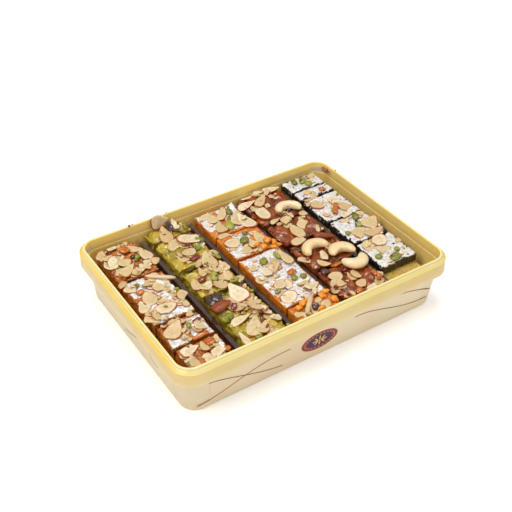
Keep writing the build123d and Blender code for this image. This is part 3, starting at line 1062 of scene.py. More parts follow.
class Heap:
    """The height of whatever lies on one sweet, kept while pieces are laid on it."""

    STEP = 0.5 * MM
    ABOVE = 0.2  # height from which the top is read
    MARGIN = 9.0 * MM
    DEPTH = 6.0 * MM  # how far below the highest corner the top may lie
    STANDING = 60.0  # degrees of lean from which a slice stands on its edge
    STEEPEST = 0.45  # slope that a lying piece may take from what is under it
    UNEVEN = 0.05  # spread of the small differences in slope
    SUNK = 82  # share in percent of what lies under a piece that stays below it
    LEAST = 8  # cells of the map that have to carry a piece

    def __init__(self, block: bpy.types.Object, low: Vector, high: Vector) -> None:
        """Reads the heights of a sweet's top from above.

        Args:
            block: the sweet.
            low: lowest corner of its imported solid.
            high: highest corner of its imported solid.
        """
        mesh = block.data
        tree = BVHTree.FromPolygons([v.co for v in mesh.vertices], [tuple(p.vertices) for p in mesh.polygons])
        self.x = np.arange(low.x - self.MARGIN, high.x + self.MARGIN, self.STEP)
        self.y = np.arange(low.y - self.MARGIN, high.y + self.MARGIN, self.STEP)
        self.z = np.full((len(self.x), len(self.y)), np.nan)
        floor = high.z - self.DEPTH
        for i, x in enumerate(self.x):
            if low.x <= x <= high.x:
                for j, y in enumerate(self.y):
                    if low.y <= y <= high.y:
                        hit = tree.ray_cast(Vector((x, y, self.ABOVE)), Vector((0, 0, -1)))[0]
                        if hit is not None and hit.z > floor:
                            self.z[i, j] = hit.z

    def index(self, x: float | np.ndarray, y: float | np.ndarray) -> tuple[np.ndarray, np.ndarray]:
        """Finds the cells of the map under some places.

        Args:
            x: places from left to right.
            y: places from front to back.

        Returns:
            The cells' numbers both ways.
        """
        return tuple(
            np.clip(np.rint((np.asarray(places) - cells[0]) / self.STEP).astype(int), 0, len(cells) - 1)
            for places, cells in ((x, self.x), (y, self.y))
        )

    def raise_to(self, x: np.ndarray, y: np.ndarray, z: np.ndarray) -> None:
        """Lifts the map where the given heights are higher, inside or outside the sweet.

        Args:
            x: places from left to right.
            y: places from front to back.
            z: the heights there.
        """
        i, j = self.index(x, y)
        old = self.z[i, j]
        self.z[i, j] = np.where(np.isnan(old), z, np.fmax(old, z))

    def stand(self, nut: Nut, rng: np.random.Generator) -> Laid:
        """Stands a slice on its long edge.

        Args:
            nut: the slice; its x and y are those of the foot, its lean is measured from flat.
            rng: source of its tone.

        Returns:
            Its place and attitude.
        """
        turn, tilt = math.radians(nut.turn), math.radians(90 - nut.lean)
        i, j = self.index(nut.x * MM, (nut.y - 2) * MM)
        foot = Vector((nut.x * MM, nut.y * MM, float(self.z[i, j])))
        along = Vector((math.cos(turn), math.sin(turn), 0))
        back = Vector((-math.sin(turn), math.cos(turn), 0))
        across = back * math.sin(tilt) + Vector((0, 0, math.cos(tilt)))
        attitude = Matrix((along, across, along.cross(across))).transposed().to_euler()
        return Laid(nut, foot + across * nut.width * 0.48 * MM, Vector(attitude), 0, float(rng.random()))

    def lay(self, nut: Nut, rng: np.random.Generator) -> Laid | None:
        """Finds how a piece rests on what is already there, and adds it to the map.

        Args:
            nut: the piece.
            rng: source of the small differences in lean and tone.

        Returns:
            Its place and attitude, or None where nothing carries it.
        """
        if nut.lean > self.STANDING:
            return self.stand(nut, rng)
        turn = math.radians(nut.turn)
        grid = np.linspace(-0.5, 0.5, 15)
        u, v = (g.ravel() for g in np.meshgrid(grid, grid))
        keep = u * u + v * v <= 0.26
        u, v = u[keep] * nut.length * MM, v[keep] * nut.width * MM
        x = nut.x * MM + u * math.cos(turn) - v * math.sin(turn)
        y = nut.y * MM + u * math.sin(turn) + v * math.cos(turn)
        i, j = self.index(x, y)
        z = self.z[i, j]
        known = ~np.isnan(z)
        if known.sum() < self.LEAST:
            return None
        terms = np.c_[x[known] - nut.x * MM, y[known] - nut.y * MM, np.ones(known.sum())]
        slope_x, slope_y, level = np.linalg.lstsq(terms, z[known], rcond=None)[0]
        steep = math.hypot(slope_x, slope_y)
        if steep > self.STEEPEST:
            slope_x, slope_y = slope_x * self.STEEPEST / steep, slope_y * self.STEEPEST / steep
        if nut.lean:
            slope_x -= math.tan(math.radians(nut.lean)) * math.sin(turn)
            slope_y += math.tan(math.radians(nut.lean)) * math.cos(turn)
        slope_x += rng.normal(0, self.UNEVEN)
        slope_y += rng.normal(0, self.UNEVEN)
        plane = slope_x * terms[:, 0] + slope_y * terms[:, 1]
        level = float(np.percentile(z[known] - plane, self.SUNK))
        thick = nut.shape.thick * MM
        top = level + slope_x * (x - nut.x * MM) + slope_y * (y - nut.y * MM) + thick * 0.85
        self.raise_to(x, y, top)
        up = Vector((-slope_x, -slope_y, 1)).normalized()
        along = Vector((math.cos(turn), math.sin(turn), 0))
        along = (along - up * along.dot(up)).normalized()
        across = up.cross(along)
        attitude = Matrix((along, across, up)).transposed().to_euler()
        place = Vector((nut.x * MM, nut.y * MM, level)) + up * thick * 0.5
        variant = int(rng.integers(len(nut.shape.recipes)))
        return Laid(nut, place, Vector(attitude), variant, float(rng.random()))


# ---------------------------------------------------------------- the sweets


@dataclass(frozen=True)
class LeafPatch:
    """A torn patch of silver leaf on the top of a row, in millimetres."""

    left: float
    right: float
    front: float
    back: float
    torn: float = 0.3
    peak: float = 0.0  # how far its back right corner stands up


@dataclass(frozen=True)
class Row:
    """One row of sweets with its look and everything strewn on it; its pieces are named for its slot."""

    name: str
    slot: str
    look: Finish
    nuts: tuple[Nut, ...]
    leaf: tuple[LeafPatch, ...] = ()
    count: int = 4
    lumps_mm: float = 0.7
    grain_mm: float = 0.25
    clump_mm: float = 0.0
    softness: int = 4
    cover: float = 0.2
    bare_left_mm: float = 2.0
    filler: float = 1.0
    chips: tuple[Shape, ...] = (
        Shape.SHARD, Shape.STRIP, Shape.SHARD, Shape.BROKEN, Shape.GREEN, Shape.SHARD, Shape.CURL, Shape.SHARD,
    )


# one letter for each shape, only for the tables of nuts
S, O, B, H, T, C, G, D, M, K, W, R, E, P = Shape

ALMOND_NUTS = (
    Nut(H, -109.6, 71.2, 8.5, 8), Nut(B, -98.2, 74.0, 10, 6, 10), Nut(O, -105.9, 64.1, 10, 8, 20),
    Nut(B, -111.4, 55.6, 13, 6, 90, 30), Nut(O, -105.4, 55.2, 12, 9, 80), Nut(O, -96.9, 51.8, 13, 11, 20),
    Nut(S, -82.3, 64.4, 18, 8, -45), Nut(S, -77.8, 54.2, 18, 10, 95), Nut(H, -105.7, 43.3, 9, 8, 10),
    Nut(S, -99.3, 41.3, 19, 9, 35), Nut(B, -94.8, 35.2, 9, 8, 60), Nut(O, -90.4, 37.2, 8, 7.5),
    Nut(R, -90.8, 66.8, 9, 9, 15), Nut(G, -85.7, 52.2, 6, 4, 30), Nut(P, -87.5, 55.5, 5, 4),
    Nut(H, -109.8, 29.4, 7, 7), Nut(B, -94.5, 18.5, 10, 7, 80), Nut(O, -86.3, 23.6, 10, 9, 20),
    Nut(T, -81.9, 19.9, 24, 3.6, -35), Nut(O, -88.7, 11.3, 12, 9, 95), Nut(O, -100.3, 3.0, 16, 13, 90),
    Nut(B, -109.9, -3.8, 14, 7, 90), Nut(R, -103.0, 12.4, 6, 5), Nut(O, -94.5, -14.5, 18, 11, 2),
    Nut(B, -82.9, -27.1, 9, 6, 90), Nut(S, -101.3, -38.6, 20, 13, 40), Nut(G, -90.4, -39.7, 6, 4, 70),
    Nut(B, -80.0, 43.5, 11, 8, 30), Nut(O, -75.0, 41.0, 8, 7, 10), Nut(B, -84.0, 39.0, 9, 6, 70),
    Nut(E, -82.3, -38.0, 7, 4, 10), Nut(B, -84.3, -45.4, 11, 8, 90), Nut(R, -88.7, -53.5, 13, 3.5, 3),
    Nut(S, -102.9, -63.8, 16, 9, 10), Nut(R, -85.7, -63.6, 8, 7, 85), Nut(S, -92.1, -65.5, 11, 6.5, 90),
    Nut(H, -86.7, -75.2, 10, 9, 20), Nut(S, -105.7, -74.8, 13, 9, 85),
    Nut(B, -94.2, -77.8, 9, 5, 10), Nut(R, -79.6, -76.2, 5, 4, 30), Nut(H, -78.5, -8.0, 9, 8, 40),
)
PISTA_NUTS = (
    Nut(S, -49.3, 80.8, 16.5, 13.2, 0, 75), Nut(P, -43.8, 75.3, 10, 6, 80),
    Nut(C, -39.7, 72.6, 12, 6, 90), Nut(S, -51.0, 69.2, 22, 12, 82),
    Nut(H, -52.7, 51.5, 13, 12, 10), Nut(B, -39.9, 50.8, 20, 16, -20), Nut(D, -31.4, 46.4, 10, 8, 25),
    Nut(G, -37.4, 40.9, 8, 6.5, 80), Nut(O, -46.9, 36.5, 13, 11.5, 30), Nut(T, -55.4, 37.5, 8, 3.4, 85),
    Nut(E, -46.5, 27.0, 9, 5, 10), Nut(S, -38.0, 19.9, 21, 14, 80), Nut(B, -48.2, 19.2, 8, 6, 90),
    Nut(G, -30.6, 19.5, 9, 4.8, 90), Nut(S, -50.3, 9.6, 11, 7, 95), Nut(G, -45.2, -0.5, 10, 7, 60),
    Nut(E, -54.4, 2.5, 6, 5), Nut(S, -40.4, 5.6, 10, 5, 90), Nut(S, -32.2, 6.2, 15, 7.5, 90),
    Nut(B, -62.0, -1.9, 12, 8, 90), Nut(C, -56.4, -7.0, 11, 9.5, 40), Nut(C, -45.2, -10.4, 13, 10, -30),
    Nut(S, -35.0, -3.3, 14, 7.5, 85), Nut(G, -34.3, -13.1, 7.5, 5, 15), Nut(P, -62.6, -24.4, 11, 7, 90),
    Nut(P, -57.1, -24.4, 12, 9, 70), Nut(S, -40.4, -27.1, 21, 15, 95), Nut(W, -59.5, -35.6, 17, 10.5, 5),
    Nut(C, -50.3, -38.3, 17, 12, -50), Nut(E, -51.5, -40.6, 6, 5, 40), Nut(G, -61.3, -46.8, 11, 7, 20),
    Nut(G, -64.6, -49.2, 7, 6), Nut(B, -35.7, -43.1, 11, 9.5, 20), Nut(S, -53.6, -54.3, 19, 7.5, 3),
    Nut(O, -38.0, -53.3, 13, 12, 30), Nut(S, -49.6, -66.5, 22, 13, 55), Nut(S, -44.5, -71.5, 14, 9, 50),
    Nut(S, -62.2, -72.5, 15, 5, 92), Nut(G, -53.0, -77.0, 7, 5, 10), Nut(B, -41.4, -77.6, 11, 6, 5),
    Nut(E, -41.4, -62.8, 5, 3, 70),
)
KESAR_NUTS = (
    Nut(S, -7.0, 68.0, 19, 10, 88), Nut(S, 2.9, 66.5, 19, 8, 45), Nut(G, 10.0, 67.1, 8, 6, 70),
    Nut(G, -0.1, 50.1, 12, 8.5, 60), Nut(G, 4.1, 31.8, 5, 4.6), Nut(G, -1.5, 23.9, 8.5, 7, 50),
    Nut(S, -7.6, 51.2, 15, 10, 85), Nut(B, 7.0, 51.5, 12, 9.5, 80), Nut(C, 15.6, 48.1, 24, 13, 100),
    Nut(H, -12.1, 40.3, 10, 7, 5), Nut(O, -11.0, 27.3, 14, 13, 20), Nut(S, 12.4, 24.3, 17, 9.5, 88),
    Nut(B, -5.6, 14.4, 12.5, 10, 85), Nut(B, 2.2, 15.8, 10, 8, 40), Nut(B, -14.8, -9.1, 8.5, 7, 80),
    Nut(G, -3.1, -7.7, 8, 6.5, 80), Nut(G, 10.4, -6.3, 9.5, 4, 92), Nut(G, 6.0, -37.3, 6, 5, 10),
    Nut(G, 13.4, -39.0, 5, 5), Nut(S, 4.6, -11.4, 13, 7.5, 92), Nut(S, -8.0, -19.3, 12, 8, 80),
    Nut(T, 0.5, -19.9, 11, 3, 40), Nut(T, -4.6, -28.1, 7, 2.8, 10), Nut(S, 14.6, -11.4, 22, 8.5, 90),
    Nut(R, 7.3, -31.5, 6.5, 5.5, 10), Nut(O, -8.3, -38.3, 12, 10, 40), Nut(O, -10.7, -53.6, 14, 11.5, 10),
    Nut(S, 9.0, -46.1, 12.5, 6.5, 5), Nut(S, 11.7, -52.9, 14, 9, 10), Nut(T, -3.6, -69.8, 21, 4, 45),
    Nut(B, 0.5, -62.5, 10, 7.5, 90), Nut(B, -15.0, -74.0, 9, 7), Nut(O, 7.7, -76.0, 11, 8.5, 30),
    Nut(H, 5.3, -69.0, 6, 5), Nut(G, -14.4, -44.1, 5, 4), Nut(P, -1.5, -75.5, 6, 5),
    Nut(M, 14.0, 13.5, 7, 5.5, 20), Nut(M, 17.5, 9.5, 6, 5, 70), Nut(M, 15.0, 5.0, 7, 5, 130),
    Nut(M, 18.5, 3.5, 5, 4), Nut(M, 3.0, 12.0, 6, 4.5, 40), Nut(M, 7.5, 8.5, 5, 4.5),
    Nut(M, 16.5, -63.0, 7, 6, 15), Nut(M, 11.0, -66.0, 6, 5, 80), Nut(M, -6.0, -66.5, 7, 5, 30),
    Nut(M, -12.0, -69.0, 5, 5), Nut(M, 16.5, -74.5, 6, 5, 60), Nut(M, 1.0, -79.0, 6, 4, 10),
)
FIG_NUTS = (
    Nut(S, 31.1, 70.2, 20, 9.5, 3), Nut(S, 43.4, 67.5, 21, 9, 40), Nut(H, 30.8, 59.6, 5, 4.5),
    Nut(H, 45.1, 60.0, 5, 4.5), Nut(B, 34.5, 50.5, 21, 12.5, 82), Nut(H, 55.6, 69.9, 7, 5, 80),
    Nut(P, 57.2, 43.6, 6, 5, 10), Nut(K, 55.4, 44.0, 24, 15, -15), Nut(S, 38.5, 36.5, 12, 6, 10),
    Nut(H, 38.6, 31.4, 5, 5), Nut(B, 44.4, 31.1, 11, 8.5, 20), Nut(H, 62.4, 31.6, 8, 8),
    Nut(O, 44.7, 14.7, 22, 11.5, 85), Nut(H, 54.3, 20.9, 9.5, 9, 40), Nut(B, 37.3, 2.5, 14, 10, 10),
    Nut(T, 61.4, 7.6, 14, 3.5, 60), Nut(W, 58.0, -5.0, 18, 7, -29),
    Nut(K, 41.5, -13.2, 24.5, 15.5, 5), Nut(O, 53.5, -18.5, 11, 10, 0),
    Nut(K, 58.6, -27.6, 23, 16, -15), Nut(S, 37.9, -33.2, 12.5, 7, -30), Nut(R, 46.8, -39.3, 11, 6, 5),
    Nut(P, 31.8, -42.4, 8, 6), Nut(O, 35.9, -50.9, 12, 11.5, 20), Nut(H, 29.0, -57.7, 7.5, 7.5),
    Nut(B, 32.5, -60.8, 11, 7.5, 88), Nut(S, 46.1, -58.0, 12, 6.5, 92), Nut(O, 49.8, -58.4, 12, 8.5, 80),
    Nut(O, 48.1, -68.6, 9, 9, 10), Nut(K, 58.4, -48.5, 24, 15.5, 180), Nut(T, 33.2, -76.0, 7, 2.8, 90),
    Nut(R, 40.0, -75.5, 6.5, 5, 10), Nut(B, 51.2, -77.0, 10, 6, 5), Nut(R, 62.6, -66.5, 7, 4, 80),
    Nut(R, 62.0, -72.0, 6, 4, 50), Nut(S, 38.0, 79.5, 15, 7, 5), Nut(T, 46.0, 77.0, 14, 3.6, -15),
    Nut(S, 50.5, 80.0, 16, 6, 8), Nut(S, 61.0, 77.5, 17, 6, -12), Nut(H, 55.0, 76.0, 7, 5, 30),
)
CHOCOLATE_NUTS = (
    Nut(G, 84.3, 75.0, 8, 5, 80), Nut(G, 91.8, 72.4, 9, 7, 60), Nut(G, 94.2, 66.3, 7, 6, 20),
    Nut(B, 101.3, 74.6, 9, 5, 5), Nut(H, 84.3, 55.2, 8, 7), Nut(B, 86.0, 47.7, 11, 8, 85),
    Nut(R, 98.6, 51.8, 5.5, 5), Nut(B, 77.9, 45.4, 8, 6, 10), Nut(O, 80.6, 35.5, 14, 13, 60),
    Nut(B, 97.3, 33.5, 12, 9.5, 10), Nut(R, 90.1, 20.9, 18, 4.6, 50), Nut(H, 99.0, 20.2, 11, 11, 20),
    Nut(B, 93.9, 10.6, 12, 7, 10), Nut(G, 96.9, 1.6, 7, 5.5, 80), Nut(O, 102.7, 3.5, 9, 7, 15),
    Nut(G, 92.8, -8.0, 8, 6.8, 60), Nut(S, 103.2, -11.4, 18, 15, 25, 8), Nut(G, 77.3, -13.5, 5, 4.8),
    Nut(B, 85.7, -16.9, 14, 12.5, 20), Nut(S, 97.6, -23.7, 19, 10, 3), Nut(P, 96.9, -33.2, 8, 6),
    Nut(H, 79.0, -34.2, 7, 7), Nut(O, 92.2, -35.6, 14, 13, 30), Nut(B, 89.1, -44.8, 12, 10, 10),
    Nut(H, 106.0, -43.1, 5.5, 5), Nut(G, 79.2, -51.6, 7, 6, 20), Nut(G, 97.6, -51.6, 6, 5, 40),
    Nut(G, 90.1, -59.2, 11, 8.5, 15),
)

ROWS = (
    Row(
        "almond", "almond_barfi", Finish.ALMOND_BARFI, ALMOND_NUTS,
        (
            LeafPatch(-112, -92, 8, 31, 0.12), LeafPatch(-94, -72, 2, 24, 0.2),
            LeafPatch(-112, -72, -31, 3, 0.08), LeafPatch(-112, -97, -58, -42, 0.2),
            LeafPatch(-93, -72, -58, -30, 0.12), LeafPatch(-84, -72, -74, -56, 0.15),
        ),
        lumps_mm=1.6, grain_mm=0.5, clump_mm=6.0, softness=6, cover=0.75, filler=1.2,
    ),
    Row(
        "pista", "pista_loaf", Finish.PISTA_LOAF, PISTA_NUTS,
        lumps_mm=4.0, grain_mm=0.1, clump_mm=12.0, softness=30, cover=0.7, bare_left_mm=13.0, filler=0.9,
        chips=(
            Shape.SHARD, Shape.STRIP, Shape.GREEN, Shape.BROKEN,
            Shape.RED, Shape.SHARD, Shape.CURL, Shape.GREEN,
        ),
    ),
    Row(
        "kesar", "kesar_barfi", Finish.KESAR_BARFI, KESAR_NUTS,
        (
            LeafPatch(-19, -3, 50, 82, 0.15), LeafPatch(-1, 19.5, 60, 82.4, 0.15, 4.6),
            LeafPatch(-4, 14, 42, 52), LeafPatch(-19, -5, 5, 26, 0.15),
            LeafPatch(-8, 8, 26, 38, 0.25), LeafPatch(-19, 19, -63, 7, 0.1),
        ),
        cover=0.42, filler=0.9,
    ),
    Row(
        "fig", "fig_roll", Finish.FIG_ROLL, FIG_NUTS,
        lumps_mm=4.4, grain_mm=0.1, clump_mm=13.5, softness=34, cover=0.2, filler=0.35,
        chips=(Shape.SHARD, Shape.STRIP, Shape.SHARD, Shape.BROKEN, Shape.DARK, Shape.RED),
    ),
    Row(
        "chocolate", "chocolate_barfi", Finish.CHOCOLATE, CHOCOLATE_NUTS,
        (
            LeafPatch(72, 110, 60, 82, 0.08), LeafPatch(72, 110, 46, 61, 0.1), LeafPatch(72, 110, 7, 46, 0.08),
            LeafPatch(72, 110, -29, 8, 0.12), LeafPatch(72, 110, -67, -28, 0.08),
        ),
        count=5, filler=0.5,
    ),
)


class SweetBlock:
    """One cut sweet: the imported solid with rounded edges, an uneven surface and a grain."""

    VOXEL = 0.9 * MM
    HOLLOW_MM = 9.0  # width of the broad hollows
    GRAIN_MM = 1.7  # width of the fine grain
    CLUMPED = 0.65  # share of the clumps in the relief of a clumped sweet
    BEND_MM = 3.0  # how far the creases between clumps wander

    def __init__(self, node: str, voxel: float = VOXEL) -> None:
        """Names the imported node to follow.

        Args:
            node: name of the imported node.
            voxel: size of the mesh's cells.
        """
        self.node = node
        self.voxel = voxel
        self.low, self.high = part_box(node)

    def build(
        self, lumps_mm: float, grain_mm: float, seed: int, clump_mm: float = 0.0, softness: int = 4
    ) -> bpy.types.Object:
        """Makes the block.

        Args:
            lumps_mm: depth of the broad hollows.
            grain_mm: depth of the fine grain.
            seed: which hollows and grain.
            clump_mm: size of the lumps that it is pressed from, or 0 for an even mass.
            softness: passes that round off the edges.

        Returns:
            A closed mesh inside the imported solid.
        """
        mesh = frame["nodes"][self.node].data.copy()
        mesh.materials.clear()
        work = bmesh.new()
        work.from_mesh(mesh)
        bmesh.ops.remove_doubles(work, verts=work.verts, dist=1e-6)
        work.to_mesh(mesh)
        work.free()
        obj = linked(f"{self.node}_block", mesh)
        remesh = obj.modifiers.new("voxels", "REMESH")
        remesh.mode = "VOXEL"
        remesh.voxel_size = self.voxel
        remesh.use_smooth_shade = True
        smooth = obj.modifiers.new("soften", "SMOOTH")
        smooth.factor = 0.5
        smooth.iterations = softness
        baked(obj)
        co, no = vectors(obj.data.vertices, "co"), vectors(obj.data.vertex_normals, "vector")
        mm = co / MM
        broad = field(mm, self.HOLLOW_MM, seed, 3)
        if clump_mm:
            wander = np.stack([field(mm + 31 * k, 4.0, seed + k) for k in range(3)], axis=1) * self.BEND_MM
            broad = (1 - self.CLUMPED) * broad + self.CLUMPED * clumps(mm + wander, clump_mm, seed)
        depth = lumps_mm * broad + grain_mm * field(mm, self.GRAIN_MM, seed + 7, 2)
        moved = co - no * depth[:, None] * MM
        obj.data.vertices.foreach_set("co", moved.astype(np.float32).ravel())
        obj.data.update()
        obj.data.polygons.foreach_set("use_smooth", [True] * len(obj.data.polygons))
        return obj


class SilverLeaf:
    """A torn, crinkled sheet of silver leaf on one sweet."""

    CELL = 0.8 * MM
    THICK = 0.05 * MM
    EDGE = 0.3 * MM  # bare edge of the sweet
    RIM = 3.5 * MM  # width of the torn border
    LEAST = 4 * MM  # narrowest patch that is laid
    FEWEST = 12  # cells of the smallest patch that is laid
    PEAK_REACH = 9 * MM  # how far from its corner a peak starts to rise

    def __init__(self, patch: LeafPatch, heap: Heap, block: SweetBlock) -> None:
        """Fits a patch to the top of a sweet.

        Args:
            patch: where the leaf lies on the row.
            heap: heights of the sweet's top.
            block: the sweet.
        """
        self.left = max(patch.left * MM, block.low.x + self.EDGE)
        self.right = min(patch.right * MM, block.high.x - self.EDGE)
        self.front = max(patch.front * MM, block.low.y + self.EDGE)
        self.back = min(patch.back * MM, block.high.y - self.EDGE)
        self.torn = patch.torn
        self.peak = patch.peak
        self.heap = heap

    def build(self, name: str, seed: int) -> bpy.types.Object | None:
        """Makes the sheet.

        Args:
            name: name of the object.
            seed: shape of its creases and torn edges.

        Returns:
            The sheet, or None where the patch misses this sweet.
        """
        if min(self.right - self.left, self.back - self.front) < self.LEAST:
            return None
        xs = np.arange(self.left, self.right, self.CELL)
        ys = np.arange(self.front, self.back, self.CELL)
        gx, gy = (g.ravel() for g in np.meshgrid(xs, ys, indexing="ij"))
        mm = np.c_[gx, gy, gx * 0] / MM
        i, j = self.heap.index(gx, gy)
        z = self.heap.z[i, j]
        creases = np.abs(field(mm, 5.0, seed, 3) - 0.5) * 2
        z_up = z + (0.15 + 0.75 * creases**2) * MM
        rim = np.minimum.reduce([gx - self.left, self.right - gx, gy - self.front, self.back - gy])
        inner = np.clip(rim / self.RIM, 0, 1)
        ragged = (field(mm, 1.9, seed + 6, 2) - 0.5) * (1.1 - inner)
        keep = inner * 0.6 + field(mm, 6.0, seed + 4, 3) + ragged * 0.7 > 0.36 + self.torn
        keep &= field(mm, 2.2, seed + 7, 2) > 0.13
        if self.peak:
            corner = np.clip(1 - np.hypot(self.right - gx, self.back - gy) / self.PEAK_REACH, 0, 1)
            keep |= corner > 0.25
            z_up = z_up + self.peak * MM * corner**1.6
        keep &= ~np.isnan(z)
        index = np.arange(len(gx)).reshape(len(xs), len(ys))
        a, b = index[:-1, :-1].ravel(), index[1:, :-1].ravel()
        c, d = index[1:, 1:].ravel(), index[:-1, 1:].ravel()
        whole = keep[a] & keep[b] & keep[c] & keep[d]
        if whole.sum() < self.FEWEST:
            return None
        quads = np.c_[a, b, c, d][whole]
        used = np.unique(quads)
        renumber = np.zeros(len(gx), int)
        renumber[used] = np.arange(len(used))
        shift = (field(mm + 40, 2.2, seed + 8) - 0.5) * 0.7 * self.CELL
        verts = np.c_[gx + shift, gy - shift, z_up][used]
        obj = new_object(name, verts, renumber[quads].tolist())
        self.heap.raise_to(verts[:, 0], verts[:, 1], verts[:, 2])
        solid = obj.modifiers.new("leaf", "SOLIDIFY")
        solid.thickness = self.THICK
        solid.offset = 1.0
        return baked(obj)


class Strewer:
    """Lays the nuts of one sweet and turns them into one plain mesh for each finish."""

    def __init__(self, larder: Larder, tree: GeometryTree) -> None:
        """Keeps the unit meshes and the tree."""
        self.larder = larder
        self.tree = tree

    def mesh(self, name: str, which: Finish, laid: list[Laid]) -> bpy.types.Object:
        """Builds one mesh from laid pieces of one finish.

        Args:
            name: name of the object.
            which: the finish.
            laid: the pieces.

        Returns:
            The mesh, in its place.
        """
        obj = new_object(name, [p.place for p in laid], [])
        for key, kind, values in (
            ("turn", "FLOAT_VECTOR", [tuple(p.euler) for p in laid]),
            ("size", "FLOAT_VECTOR", [(p.nut.length * MM, p.nut.width * MM, MM) for p in laid]),
            ("variant", "INT", [self.larder.index[p.nut.shape, p.variant] for p in laid]),
            ("tone", "FLOAT", [p.tone for p in laid]),
        ):
            set_attribute(obj.data, key, values, kind)
        return self.tree.apply(obj, Shapes=self.larder.shelves[which], Finish=finish(which))


class SweetRow:
    """Builds a row: its sweets, their silver leaf and the nuts on them."""

    FLAKES = (Shape.BROKEN, Shape.OVAL, Shape.SHARD, Shape.SLICE, Shape.CURL, Shape.BROKEN)
    FLAKE_MM = (6.0, 12.0)  # shortest and longest strewn flake
    CHIP_MM = (2.4, 5.5)  # shortest and longest strewn chip
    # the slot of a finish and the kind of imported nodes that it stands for; the slot of all others is almond
    PACKED = {
        Finish.ALMOND: ("almond", "flakes"), Finish.CASHEW: ("cashew", "cashews"),
        Finish.PISTACHIO: ("pistachio", "pistachios"),
    }
    OVERHANG_MM = 0.6  # how far past its end the nuts of a sweet may lie
    LEAF_SEED = 49
    CRUMBS_PER_M2 = 26000.0

    def __init__(self, row: Row, strewer: Strewer, crumbs: GeometryTree) -> None:
        """Keeps what the row is made of.

        Args:
            row: its sweets, leaf and nuts.
            strewer: builds the nuts.
            crumbs: the tree that strews crumbs.
        """
        self.row = row
        self.strewer = strewer
        self.crumbs = crumbs

    def filler(self, block: SweetBlock, rng: np.random.Generator) -> list[Nut]:
        """Chooses small flakes and chips to strew between the chosen nuts.

        Args:
            block: the sweet that they lie on.
            rng: source of their kinds, places and sizes.

        Returns:
            The pieces, flakes first.
        """
        area = (block.high.x - block.low.x) * (block.high.y - block.low.y) / MM**2
        left, right = block.low.x / MM + self.row.bare_left_mm, block.high.x / MM - 2.5
        front, back = block.low.y / MM + 2, block.high.y / MM - 2
        strewn = []
        for shapes, share, lengths in (
            (self.FLAKES, self.row.cover, self.FLAKE_MM), (self.row.chips, self.row.filler, self.CHIP_MM),
        ):
            for _ in range(int(area / 100 * share)):
                x = rng.uniform(left, right)
                y = rng.uniform(front, back)
                shape = shapes[int(rng.integers(len(shapes)))]
                size = rng.uniform(*lengths)
                strewn.append(Nut(shape, x, y, size, size * rng.uniform(0.5, 0.85), rng.uniform(0, 360)))
        return strewn

    def build(self, seed: int) -> None:
        """Builds every piece of the row."""
        for number in range(1, self.row.count + 1):
            self.sweet(number, seed)

    def sweet(self, number: int, row_seed: int) -> None:
        """Builds one sweet with all that lies on it.

        Args:
            number: which sweet of the row; it takes its own seed, counted on from the row's.
            row_seed: seed of the row and of its leaf, which runs on over the cuts.
        """
        row = self.row
        node, seed = f"{row.slot}_{number}", row_seed + number - 1
        block = SweetBlock(node)
        solid = block.build(row.lumps_mm, row.grain_mm, seed, row.clump_mm, row.softness)
        settle(solid, node, row.slot, row.look, node)
        heap = Heap(solid, block.low, block.high)
        for count, patch in enumerate(row.leaf, 1):
            leaf_seed = row_seed + self.LEAF_SEED + count
            sheet = SilverLeaf(patch, heap, block).build(f"{node}_silver_leaf_{count}", leaf_seed)
            if sheet is not None:
                settle(sheet, node, row.slot, Finish.LEAF)
        self.strew(number, node, heap, block, np.random.default_rng(seed))
        dust = linked(f"{node}_crumbs", solid.data.copy())
        self.crumbs.apply(
            dust, Shapes=self.strewer.larder.crumbs, Finish=finish(Finish.ALMOND),
            Density=self.CRUMBS_PER_M2 * row.filler, Smallest=0.5 * MM, Largest=1.6 * MM, Seed=seed,
        )
        settle(dust, node, "almond", Finish.ALMOND)

    def strew(self, number: int, node: str, heap: Heap, block: SweetBlock, rng: np.random.Generator) -> None:
        """Lays the chips and then the chosen nuts of one sweet, and builds one piece for each finish.

        Args:
            number: which sweet of the row.
            node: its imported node.
            heap: heights of its top.
            block: the sweet.
            rng: source of all that isn't chosen.
        """
        low, high = block.low.y / MM - self.OVERHANG_MM, block.high.y / MM + self.OVERHANG_MM
        mine = [n for n in self.row.nuts if low <= n.y < high]
        by_finish: dict[Finish, list[Laid]] = {}
        for laid in [heap.lay(n, rng) for n in self.filler(block, rng) + mine]:
            if laid is not None:
                by_finish.setdefault(laid.nut.shape.look, []).append(laid)
        for which, group in by_finish.items():
            slot, kind = self.PACKED.get(which, ("almond", ""))
            packed = f"{self.row.name}_{kind}_{number}"
            obj = self.strewer.mesh(f"{node}_{which.name.lower()}", which, group)
            settle(obj, node, slot, which, *([packed] if packed in frame["nodes"] else []))


# ---------------------------------------------------------------- the box


class Tub:
    """The tub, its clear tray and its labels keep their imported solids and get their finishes."""

    def build(self) -> None:
        """Puts the finishes on."""
        for name, which in (("tub", Finish.TUB), ("insert_tray", Finish.TRAY)):
            self.paint(name, which)
        for side in ("front", "back", "left", "right"):
            self.paint(f"label_{side}", Finish.LABEL)

    def paint(self, node: str, which: Finish) -> None:
        """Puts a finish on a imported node.

        Args:
            node: name of the node.
            which: the finish.
        """
        data = frame["nodes"][node].data
        data.materials.clear()
        data.materials.append(finish(which))


class Side(Enum):
    """A side wall that carries print: the axis it faces along and which way."""

    FRONT = ("y", -1)
    LEFT = ("x", -1)


